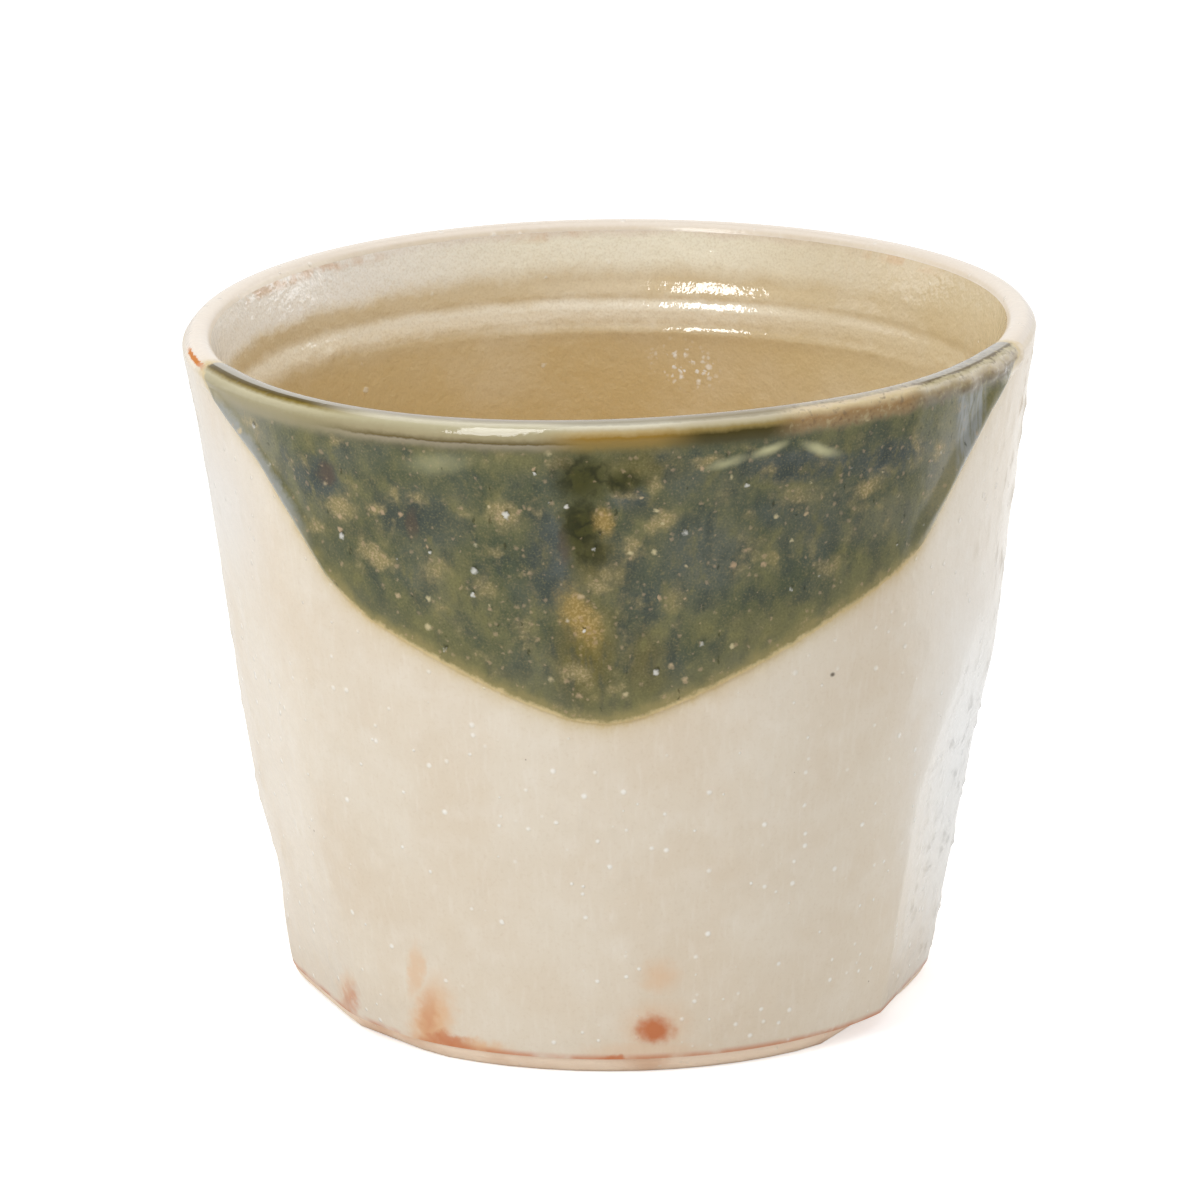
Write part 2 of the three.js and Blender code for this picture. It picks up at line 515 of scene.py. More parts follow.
@dataclass(frozen=True)
class Ledge:
    """A ring that the fingers left inside, boldest at one turn: the wall steps in, then goes back below.

    Fields:
        depth: how far the step lies below the top of the lip.
        rise: how far the wall steps in.
        width: the height of the step.
        fall: the height over which the wall goes back.
        turn: the turn at which the ring is boldest.
        spread: the angle over which it grows faint.
        faint: the share of it that is left all round.
    """

    depth: float
    rise: float
    width: float
    fall: float
    turn: float = 167.0
    spread: float = 30.0
    faint: float = 0.12

    def shape(self, piece: bpy.types.Object, survey: Survey) -> None:
        """Raises the ring on the free side of a coat.

        Args:
            piece: the free side.
            survey: the lines that give the lip.
        """
        points = points_of(piece)
        aside = (turns_of(points) - self.turn + 180) % 360 - 180
        bold = self.faint + (1 - self.faint) * np.exp(-((aside / self.spread) ** 2))
        below = survey.below_lip(points) - self.depth
        step = np.clip(below / self.width + 0.5, 0, 1)
        back = np.exp(-np.maximum(below - self.width / 2, 0) / self.fall)
        push_out(piece, points, -self.rise * bold * step * back)


@dataclass(frozen=True)
class Roll:
    """A thick roll of glaze along a stretch of the green's lower edge.

    Fields:
        first: the turn at which it starts.
        last: the turn at which it ends.
        above: how far its crest lies above the edge.
        reach: half its width.
        height: how far it stands out.
        fade: the angle over which it starts and ends.
        LIP_MARGIN: how far below the top of the lip it starts to rise.
    """

    first: float
    last: float
    above: float
    reach: float
    height: float
    fade: float = 6.0
    LIP_MARGIN: ClassVar[float] = 1.5

    def shape(self, piece: bpy.types.Object, survey: Survey) -> None:
        """Raises the roll on the free side of the coat.

        Args:
            piece: the free side.
            survey: the lines that give the edge.
        """
        points = points_of(piece)
        hill = np.exp(-(((survey.above_edge(points) - self.above) / self.reach) ** 2))
        hill *= rising(survey.below_lip(points), start=self.LIP_MARGIN, way=1.0)
        hill *= between(turns_of(points), self.first, self.last, self.fade)
        push_out(piece, points, self.height * hill)


Form = Stroke | Bevel | Ledge | Roll


class Zone(Enum):
    """Parts of a coat that a relief lies on."""

    WALL = "wall"
    LIP = "lip"


class Basis(Enum):
    """Noises that a relief is made from."""

    WAVES = "BLENDER_ORIGINAL"
    GRAINS = "VORONOI_F1"


@dataclass(frozen=True)
class Relief:
    """A pattern of hills and hollows in the free side of a coat.

    Fields:
        name: the pattern's name.
        basis: the noise it is made from.
        spacing: the distance from one hill to the next.
        height: how far the hills stand out.
        rest: the share of the height that is level with the plain coat.
        depth: how many finer noises are added to the first.
        reach: for grains, the share of the spacing that a grain takes up.
        zone: the part of the coat that it lies on.
        first: the turn from which it lies there.
        last: the turn up to which it lies there.
        FADE: the angle over which it fades at those turns.
        STEPS: the number of shares of its height that are told apart.
    """

    name: str
    basis: Basis
    spacing: float
    height: float
    rest: float = 0.5
    depth: int = 0
    reach: float = 0.3
    zone: Zone = Zone.WALL
    first: float = -190.0
    last: float = 190.0
    FADE: ClassVar[float] = 6.0
    STEPS: ClassVar[int] = 16

    def texture(self) -> bpy.types.Texture:
        """Makes the texture of the pattern.

        Returns:
            The texture.
        """
        texture = bpy.data.textures.new(self.name, "CLOUDS")
        texture.noise_basis = self.basis.value
        texture.noise_scale = self.spacing * MM
        texture.noise_depth = self.depth
        if self.basis is Basis.GRAINS:
            texture.use_color_ramp = True
            middle, side = texture.color_ramp.elements
            middle.position = 0.0
            middle.color = (1, 1, 1, 1)
            side.position = self.reach
            side.color = (0, 0, 0, 1)
        return texture

    def press(self, piece: bpy.types.Object, weights: np.ndarray) -> None:
        """Presses the pattern into a piece.

        Args:
            piece: the piece.
            weights: for each vertex, the share of the height that it gets.
        """
        shares = weights * between(turns_of(points_of(piece)), self.first, self.last, self.FADE)
        group = piece.vertex_groups.new(name=self.name)
        for step in range(1, self.STEPS + 1):
            members = np.flatnonzero(np.round(shares * self.STEPS) == step)
            group.add(members.tolist(), step / self.STEPS, "REPLACE")
        take_up(piece)
        pressing = piece.modifiers.new(self.name, "DISPLACE")
        pressing.texture = self.texture()
        pressing.texture_coords = "LOCAL"
        pressing.mid_level = self.rest
        pressing.strength = self.height * MM
        pressing.vertex_group = group.name
        bpy.ops.object.modifier_apply(modifier=pressing.name)
        piece.vertex_groups.remove(piece.vertex_groups[self.name])


# Node trees


class Sheet:
    """A node tree that is being written."""

    def __init__(self, tree: bpy.types.NodeTree) -> None:
        """Takes the tree."""
        self.tree = tree

    def put(self, socket: Socket, value: Value) -> None:
        """Links or sets an input.

        Args:
            socket: the input.
            value: a constant, or the output that goes into it.
        """
        if isinstance(value, bpy.types.NodeSocket):
            self.tree.links.new(value, socket)
        else:
            socket.default_value = value

    def add(self, kind: str, values: dict[str | int, Value], **settings: str | bool) -> bpy.types.Node:
        """Adds a node.

        Args:
            kind: the node's type, without its prefix.
            values: what goes into its inputs, by their names or numbers.
            settings: the node's own settings.

        Returns:
            The node.
        """
        node = self.tree.nodes.new(f"ShaderNode{kind}")
        for name, setting in settings.items():
            setattr(node, name, setting)
        for key, value in values.items():
            self.put(node.inputs[key], value)
        return node

    def use(self, group: bpy.types.NodeTree, values: dict[str, Value]) -> bpy.types.Node:
        """Places a node group.

        Args:
            group: the group.
            values: what goes into its inputs, by name.

        Returns:
            The group's node.
        """
        node = self.tree.nodes.new("ShaderNodeGroup")
        node.node_tree = group
        for key, value in values.items():
            self.put(node.inputs[key], value)
        return node

    def math(self, operation: str, *values: Value) -> Socket:
        """Adds a sum on numbers and gives its result."""
        return self.add("Math", dict(enumerate(values)), operation=operation).outputs[0]

    def vector(self, operation: str, *values: Value) -> Socket:
        """Adds a sum on vectors and gives its result."""
        return self.add("VectorMath", dict(enumerate(values)), operation=operation).outputs[0]

    def scaled(self, place: Socket, scale: Value) -> Socket:
        """Multiplies a vector by a number."""
        return self.add("VectorMath", {0: place, "Scale": scale}, operation="SCALE").outputs[0]

    def times(self, first: Value, second: Value) -> Socket:
        """Multiplies two numbers."""
        return self.math("MULTIPLY", first, second)

    def times_plus(self, first: Value, second: Value, third: Value) -> Socket:
        """Multiplies two numbers and adds a third."""
        return self.math("MULTIPLY_ADD", first, second, third)

    def part(self, place: Socket, axis: int) -> Socket:
        """Gives one coordinate of a place: 0 across, 1 in depth, 2 up."""
        return self.add("SeparateXYZ", {0: place}).outputs[axis]

    def ramp(self, value: Socket, start: Value, end: Value) -> Socket:
        """Rises smoothly from 0, where a value is at the start, to 1, where it is at the end."""
        values = {"Value": value, "From Min": start, "From Max": end}
        return self.add("MapRange", values, interpolation_type="SMOOTHSTEP").outputs[0]

    def band(self, value: Socket, low: float, high: float, soft: float) -> Socket:
        """Is 1 where a value lies from low to high, and falls to 0 over a soft margin outside."""
        return self.times(self.ramp(value, low - soft, low), self.ramp(value, high + soft, high))

    def mix(self, share: Value, first: Value, second: Value, blend: str = "MIX") -> Socket:
        """Mixes two colours.

        Args:
            share: how much of the second there is.
            first: the first colour.
            second: the second colour.
            blend: the way of mixing.

        Returns:
            The mixed colour.
        """
        node = self.add("Mix", {0: share, 6: first, 7: second}, data_type="RGBA", blend_type=blend)
        return node.outputs[2]

    def tint(self, share: Value, first: Value, second: Value, strength: float = 1.0) -> Socket:
        """Mixes a colour over another, with a mask and a strength."""
        return self.mix(self.times(share, strength), first, second)

    def gradient(self, value: Socket, stops: Bands) -> Socket:
        """Runs through colours as a value rises.

        Args:
            value: the value.
            stops: the values at which the colours are reached, in rising order, and the colours.

        Returns:
            The colour.
        """
        start, end = stops[0][0], stops[-1][0]
        share = self.add("MapRange", {"Value": value, "From Min": start, "From Max": end}).outputs[0]
        node = self.add("ValToRGB", {0: share})
        elements = node.color_ramp.elements
        for place, colour in stops[1:-1]:
            elements.new((place - start) / (end - start)).color = colour
        elements[0].color = stops[0][1]
        elements[len(stops) - 1].color = stops[-1][1]
        return node.outputs[0]

    def noise(self, place: Socket, spacing: float, detail: float) -> Socket:
        """Adds a noise from 0 to 1 whose hills lie a spacing apart."""
        values = {"Vector": place, "Scale": 1 / spacing, "Detail": detail}
        return self.add("TexNoise", values).outputs[0]

    def swayed(self, value: Socket, place: Socket, spacing: float, detail: float, amount: float) -> Socket:
        """Shifts a value up and down with a noise.

        Args:
            value: the value.
            place: the place on the cup.
            spacing: the distance from one hill of the noise to the next.
            detail: how ragged the noise is.
            amount: how far the value moves from the lowest to the highest.

        Returns:
            The shifted value.
        """
        noise = self.noise(place, spacing, detail)
        return self.times_plus(self.math("SUBTRACT", noise, 0.5), amount, value)

    def stretched(self, place: Socket, across: float, upward: float) -> Socket:
        """Stretches a pattern by one factor round the cup and another up it."""
        scale = (1 / across, 1 / across, 1 / upward)
        return self.add("Mapping", {"Vector": place, "Scale": scale}).outputs[0]


def new_group(
    name: str, inputs: dict[str, str], outputs: dict[str, str]
) -> tuple[Sheet, bpy.types.Node, bpy.types.Node]:
    """Starts a node group.

    Args:
        name: the group's name.
        inputs: the kinds of its inputs, by name.
        outputs: the kinds of its outputs, by name.

    Returns:
        The group's sheet, the node that gives its inputs, and the node that takes its outputs.
    """
    tree = bpy.data.node_groups.new(name, "ShaderNodeTree")
    for key, kind in inputs.items():
        tree.interface.new_socket(key, in_out="INPUT", socket_type=f"NodeSocket{kind}")
    for key, kind in outputs.items():
        tree.interface.new_socket(key, in_out="OUTPUT", socket_type=f"NodeSocket{kind}")
    return Sheet(tree), tree.nodes.new("NodeGroupInput"), tree.nodes.new("NodeGroupOutput")


def specks_group() -> bpy.types.NodeTree:
    """Makes the group for small spots, such as grains that show through a glaze.

    Returns:
        A group that gives the mask of the spots and a number that differs from spot to spot.
    """
    least, spread, core = 0.5, 0.7, 0.25
    inputs = {"Place": "Vector", "Spacing": "Float", "Radius": "Float", "Share": "Float"}
    sheet, given, result = new_group("specks", inputs, {"Mask": "Float", "Pick": "Float"})
    spacing = given.outputs["Spacing"]
    place = sheet.scaled(given.outputs["Place"], sheet.math("DIVIDE", 1.0, spacing))
    cells = sheet.add("TexVoronoi", {"Vector": place, "Scale": 1.0})
    picks = sheet.add("SeparateColor", {0: cells.outputs["Color"]})
    shows = sheet.math("LESS_THAN", picks.outputs[0], given.outputs["Share"])
    size = sheet.times_plus(picks.outputs[1], spread, least)
    reach = sheet.times(given.outputs["Radius"], size)
    aside = sheet.times(cells.outputs["Distance"], spacing)
    spot = sheet.ramp(aside, reach, sheet.times(reach, core))
    sheet.put(result.inputs["Mask"], sheet.times(spot, shows))
    sheet.put(result.inputs["Pick"], picks.outputs[2])
    return sheet.tree


def mottle_group() -> bpy.types.NodeTree:
    """Makes the group for soft patches of no set shape.

    Returns:
        A group that gives the mask of the patches.
    """
    inputs = {"Place": "Vector", "Spacing": "Float", "Detail": "Float", "Low": "Float", "High": "Float"}
    sheet, given, result = new_group("mottle", inputs, {"Mask": "Float"})
    scale = sheet.math("DIVIDE", 1.0, given.outputs["Spacing"])
    values = {"Vector": given.outputs["Place"], "Scale": scale, "Detail": given.outputs["Detail"]}
    noise = sheet.add("TexNoise", values)
    mask = sheet.ramp(noise.outputs[0], given.outputs["Low"], given.outputs["High"])
    sheet.put(result.inputs["Mask"], mask)
    return sheet.tree


def patch_group() -> bpy.types.NodeTree:
    """Makes the group for one oval patch at a set place.

    Returns:
        A group that gives the mask of the patch.
    """
    inputs = {"Place": "Vector", "Middle": "Vector", "Reach": "Vector", "Tilt": "Float", "Soft": "Float"}
    sheet, given, result = new_group("patch", inputs, {"Mask": "Float"})
    middle = given.outputs["Middle"]
    values = {"Vector": given.outputs["Place"], "Center": middle, "Angle": given.outputs["Tilt"]}
    turned = sheet.add("VectorRotate", values, rotation_type="Y_AXIS").outputs[0]
    aside = sheet.vector("DIVIDE", sheet.vector("SUBTRACT", turned, middle), given.outputs["Reach"])
    away = sheet.add("VectorMath", {0: aside}, operation="LENGTH").outputs["Value"]
    inner = sheet.math("SUBTRACT", 1.0, given.outputs["Soft"])
    sheet.put(result.inputs["Mask"], sheet.ramp(away, 1.0, inner))
    return sheet.tree


def edge_group() -> bpy.types.NodeTree:
    """Makes the group for the ragged edge of the green.

    Returns:
        A group that gives the distance above the edge, made uneven.
    """
    sheet, given, result = new_group("ragged_edge", {"Place": "Vector", "Above": "Float"}, {"Above": "Float"})
    place = given.outputs["Place"]
    uneven = sheet.swayed(given.outputs["Above"], place, spacing=1.6, detail=1.0, amount=0.7)
    uneven = sheet.swayed(uneven, place, spacing=0.36, detail=2.0, amount=0.55)
    sheet.put(result.inputs["Above"], uneven)
    return sheet.tree


@dataclass(frozen=True)
class Patch:
    """An oval patch of colour on the cup, as seen from the front.

    Fields:
        x: its place to the right of the middle.
        z: its height.
        wide: half its width.
        tall: half its height.
        tilt: how far its right end is turned up, in degrees.
        strength: how strong its colour is.
        soft: the share of it over which it fades.
        y: its place in depth.
        deep: half its depth.
    """

    x: float
    z: float
    wide: float
    tall: float
    tilt: float = 0.0
    strength: float = 1.0
    soft: float = 1.0
    y: float = -38.0
    deep: float = 30.0

    def mask(self, sheet: Sheet, effects: "Effects", place: Socket) -> Socket:
        """Places the patch on a sheet.

        Args:
            sheet: the sheet.
            effects: the node groups that finishes share.
            place: the place on the cup.

        Returns:
            The mask of the patch.
        """
        values = {
            "Place": place,
            "Middle": (self.x, self.y, self.z),
            "Reach": (self.wide, self.deep, self.tall),
            "Tilt": math.radians(self.tilt),
            "Soft": self.soft,
        }
        return sheet.times(sheet.use(effects.patch, values).outputs["Mask"], self.strength)


@dataclass(frozen=True)
class Mottle:
    """Soft patches of no set shape.

    Fields:
        spacing: the distance from one patch to the next.
        detail: how ragged they are.
        low: the noise at which they start to show.
        high: the noise at which they show fully.
    """

    spacing: float
    detail: float
    low: float
    high: float

    def mask(self, sheet: Sheet, effects: "Effects", place: Socket) -> Socket:
        """Places the patches on a sheet.

        Args:
            sheet: the sheet.
            effects: the node groups that finishes share.
            place: the place on the cup.

        Returns:
            The mask of the patches.
        """
        values = {
            "Place": place,
            "Spacing": self.spacing,
            "Detail": self.detail,
            "Low": self.low,
            "High": self.high,
        }
        return sheet.use(effects.mottle, values).outputs["Mask"]


@dataclass(frozen=True)
class Specks:
    """Small spots.

    Fields:
        spacing: the distance from one spot to the next.
        radius: how large they are.
        share: the share of the places that hold a spot.
        shift: how far the pattern is moved, so that it differs from others.
    """

    spacing: float
    radius: float
    share: Value
    shift: Triple | None = None

    def spots(self, sheet: Sheet, effects: "Effects", place: Socket) -> tuple[Socket, Socket]:
        """Places the spots on a sheet.

        Args:
            sheet: the sheet.
            effects: the node groups that finishes share.
            place: the place on the cup.

        Returns:
            The mask of the spots, and a number that differs from spot to spot.
        """
        if self.shift is not None:
            place = sheet.vector("ADD", place, self.shift)
        values = {"Place": place, "Spacing": self.spacing, "Radius": self.radius, "Share": self.share}
        node = sheet.use(effects.specks, values)
        return node.outputs["Mask"], node.outputs["Pick"]

    def mask(self, sheet: Sheet, effects: "Effects", place: Socket) -> Socket:
        """Places the spots on a sheet and gives their mask."""
        return self.spots(sheet, effects, place)[0]


@dataclass(frozen=True)
class Stretch:
    """A stretch of the lip with bands of its own.

    Fields:
        first: the place across the cup at which it starts to show.
        last: the place across the cup from which it shows fully.
        bands: the colours of its bands, by the way from the top of the lip.
    """

    first: float
    last: float
    bands: Bands


@dataclass(frozen=True)
class CreamSkin:
    """Colours of the cream glaze, which also shows at the thin edge of the green.

    Fields:
        body: the glaze where it is thick.
        warm: the glaze where the clay shows through.
        pale: grains and thin places.
        iron: dark specks.
        glow: what is left of the cream's colour where the green bleeds into it.
        lip: the top of the lip.
        orange: the flash on the lip.
        glow_reach: the distance over which the glow fades to a third.
        lip_burn: where the flash lies.
        broad: where the clay shows through.
        clouds: pale clouds.
        flecks: fine warm flecks.
        grains: pale grains.
        dots: the dark specks.
        grain_heights: the height at which the grains are faintest, and the one at which they are boldest.
        faint: the share of the grains that shows where they are faintest.
        roughness: how rough the glaze is.
        sway: how much rougher it is where the clay shows through.
        burn_roughness: how much rougher it is in the flash.
    """

    body: Colour = paint(229, 217, 198)
    warm: Colour = paint(225, 210, 188)
    pale: Colour = paint(246, 241, 232)
    iron: Colour = paint(120, 92, 70)
    glow: Colour = (0.81, 0.72, 0.46, 1.0)
    lip: Colour = paint(230, 218, 204)
    orange: Colour = paint(204, 124, 48)
    glow_reach: float = 0.75
    lip_burn: Patch = Patch(x=-42.0, y=-10.8, z=69.1, wide=6.0, deep=5.6, tall=6.0, soft=0.5)
    broad: Mottle = Mottle(spacing=13.0, detail=3.0, low=0.35, high=0.68)
    clouds: Mottle = Mottle(spacing=3.0, detail=4.0, low=0.45, high=0.75)
    flecks: Mottle = Mottle(spacing=0.35, detail=2.0, low=0.5, high=0.8)
    grains: Specks = Specks(spacing=1.4, radius=0.36, share=0.34)
    dots: Specks = Specks(spacing=2.7, radius=0.16, share=0.1, shift=(3.1, 0.0, 7.7))
    grain_heights: tuple[float, float] = (52.0, 26.0)
    faint: float = 0.4
    roughness: float = 0.2
    sway: float = 0.06
    burn_roughness: float = 0.6

    def group(self, effects: "Effects") -> bpy.types.NodeTree:
        """Makes the group of the cream skin.

        Args:
            effects: the node groups that finishes share.

        Returns:
            A group that gives the skin's colour, roughness and height.
        """
        inputs = {"Place": "Vector", "Above": "Float", "From Lip": "Float"}
        outputs = {"Color": "Color", "Roughness": "Float", "Height": "Float"}
        sheet, given, result = new_group("cream_skin", inputs, outputs)
        place = given.outputs["Place"]
        from_lip = given.outputs["From Lip"]

        broad = self.broad.mask(sheet, effects, place)
        colour = sheet.mix(broad, self.body, self.warm)
        clouds = self.clouds.mask(sheet, effects, place)
        colour = sheet.tint(clouds, colour, self.pale, strength=0.13)
        flecks = self.flecks.mask(sheet, effects, place)
        colour = sheet.mix(sheet.times(flecks, 0.15), colour, self.warm, "MULTIPLY")

        on_lip = sheet.band(from_lip, low=-1.6, high=1.5, soft=0.5)
        colour = sheet.tint(on_lip, colour, self.lip, strength=0.8)
        ragged = sheet.times_plus(sheet.noise(place, spacing=0.7, detail=2.0), 0.9, from_lip)
        streak = sheet.band(ragged, low=1.75, high=2.15, soft=0.3)
        burn = sheet.times(self.lip_burn.mask(sheet, effects, place), streak)
        colour = sheet.mix(burn, colour, self.orange)
        runs = sheet.noise(sheet.stretched(place, across=0.5, upward=4.0), spacing=1.0, detail=3.0)
        colour = sheet.tint(sheet.ramp(runs, 0.5, 0.75), colour, self.pale, strength=0.12)

        grains = self.grains.mask(sheet, effects, place)
        bold = sheet.ramp(sheet.part(place, 2), *self.grain_heights)
        shown = sheet.times(grains, sheet.times_plus(bold, 1 - self.faint, self.faint))
        colour = sheet.mix(shown, colour, self.pale)
        dots = self.dots.mask(sheet, effects, place)
        colour = sheet.tint(dots, colour, self.iron, strength=0.7)

        glow = sheet.math("EXPONENT", sheet.math("DIVIDE", given.outputs["Above"], self.glow_reach))
        colour = sheet.mix(sheet.math("MINIMUM", glow, 1.0), colour, self.glow, "MULTIPLY")

        peel = sheet.noise(place, spacing=0.8, detail=2.0)
        height = sheet.times_plus(grains, 0.9, sheet.times(peel, 0.5))
        satin = sheet.times_plus(broad, self.sway, self.roughness)
        sheet.put(result.inputs["Color"], colour)
        sheet.put(result.inputs["Roughness"], sheet.times_plus(burn, self.burn_roughness, satin))
        sheet.put(result.inputs["Height"], height)
        return sheet.tree


class Effects:
    """Node groups that more than one finish uses."""

    def __init__(self) -> None:
        """Builds each group once. The cream skin uses the others."""
        self.specks = specks_group()
        self.mottle = mottle_group()
        self.patch = patch_group()
        self.edge = edge_group()
        self.cream = CreamSkin().group(self)


class Finish:
    """A finish of the cup: one material, written on its own sheet."""

    def __init__(self, name: str, effects: Effects) -> None:
        """Starts the material.

        Args:
            name: the material's name.
            effects: the node groups that finishes share.
        """
        self.material = bpy.data.materials.new(name)
        self.material.use_nodes = True
        self.sheet = Sheet(self.material.node_tree)
        self.effects = effects
        self.shader = self.material.node_tree.nodes["Principled BSDF"]
        coordinates = self.sheet.add("TexCoord", {})
        self.place = self.sheet.scaled(coordinates.outputs["Object"], 1 / MM)
        self.write()

    def write(self) -> None:
        """Writes the finish. Each finish has its own."""
        raise NotImplementedError

    def attribute(self, name: str) -> Socket:
        """Reads a number that the piece holds for each vertex."""
        return self.sheet.add("Attribute", {}, attribute_name=name).outputs["Fac"]

    def laid(self, pattern: Patch | Mottle | Specks, place: Socket) -> Socket:
        """Lays a pattern on the cup and gives its mask."""
        return pattern.mask(self.sheet, self.effects, place)

    def patches(self, patches: tuple[Patch, ...], place: Socket) -> Socket:
        """Gives the mask of several patches together.

        Args:
            patches: the patches.
            place: the place on the cup.

        Returns:
            The strongest of the patches' masks.
        """
        masks = [self.laid(patch, place) for patch in patches]
        total = masks[0]
        for mask in masks[1:]:
            total = self.sheet.math("MAXIMUM", total, mask)
        return total

    def warped(self, spacing: float, amount: float) -> Socket:
        """Shifts the place about unevenly, so that what is drawn on it gets ragged edges.

        Args:
            spacing: the distance over which the shift changes.
            amount: how far the place moves.

        Returns:
            The shifted place.
        """
        sheet = self.sheet
        noise = sheet.add("TexNoise", {"Vector": self.place, "Scale": 1 / spacing, "Detail": 3.0})
        shift = sheet.vector("SUBTRACT", noise.outputs["Color"], (0.5, 0.5, 0.5))
        return sheet.vector("ADD", self.place, sheet.scaled(shift, amount))

    def bump(self, height: Socket, distance: float) -> None:
        """Gives the surface a fine relief.

        Args:
            height: the height, from 0 to 1.
            distance: how far 1 stands out.
        """
        bump = self.sheet.add("Bump", {"Strength": 1.0, "Distance": distance * MM, "Height": height})
        self.sheet.put(self.shader.inputs["Normal"], bump.outputs[0])


class BareClay(Finish):
    """Fired stoneware with no glaze: buff, sandy and matt."""

    buff: Colour = paint(240, 219, 196)
    toasted: Colour = paint(214, 172, 138)
    sand: Colour = paint(236, 222, 204)
    iron: Colour = paint(96, 70, 54)
    clouds: Mottle = Mottle(spacing=9.0, detail=4.0, low=0.45, high=0.75)
    grains: Specks = Specks(spacing=1.0, radius=0.3, share=0.35)
    dots: Specks = Specks(spacing=2.4, radius=0.2, share=0.12, shift=(5.3, 2.9, 1.7))
    roughness: float = 0.9

    def write(self) -> None:
        """Writes the clay: toasted clouds, sand and a few specks of iron."""
        sheet = self.sheet
        colour = sheet.tint(self.laid(self.clouds, self.place), self.buff, self.toasted, strength=0.7)
        grains = self.laid(self.grains, self.place)
        colour = sheet.tint(grains, colour, self.sand, strength=0.6)
        colour = sheet.tint(self.laid(self.dots, self.place), colour, self.iron, strength=0.8)
        grit = sheet.noise(self.place, spacing=0.35, detail=3.0)
        height = sheet.times_plus(grains, 0.6, sheet.times(grit, 0.6))
        sheet.put(self.shader.inputs["Base Color"], colour)
        self.shader.inputs["Roughness"].default_value = self.roughness
        self.bump(height, distance=0.12)


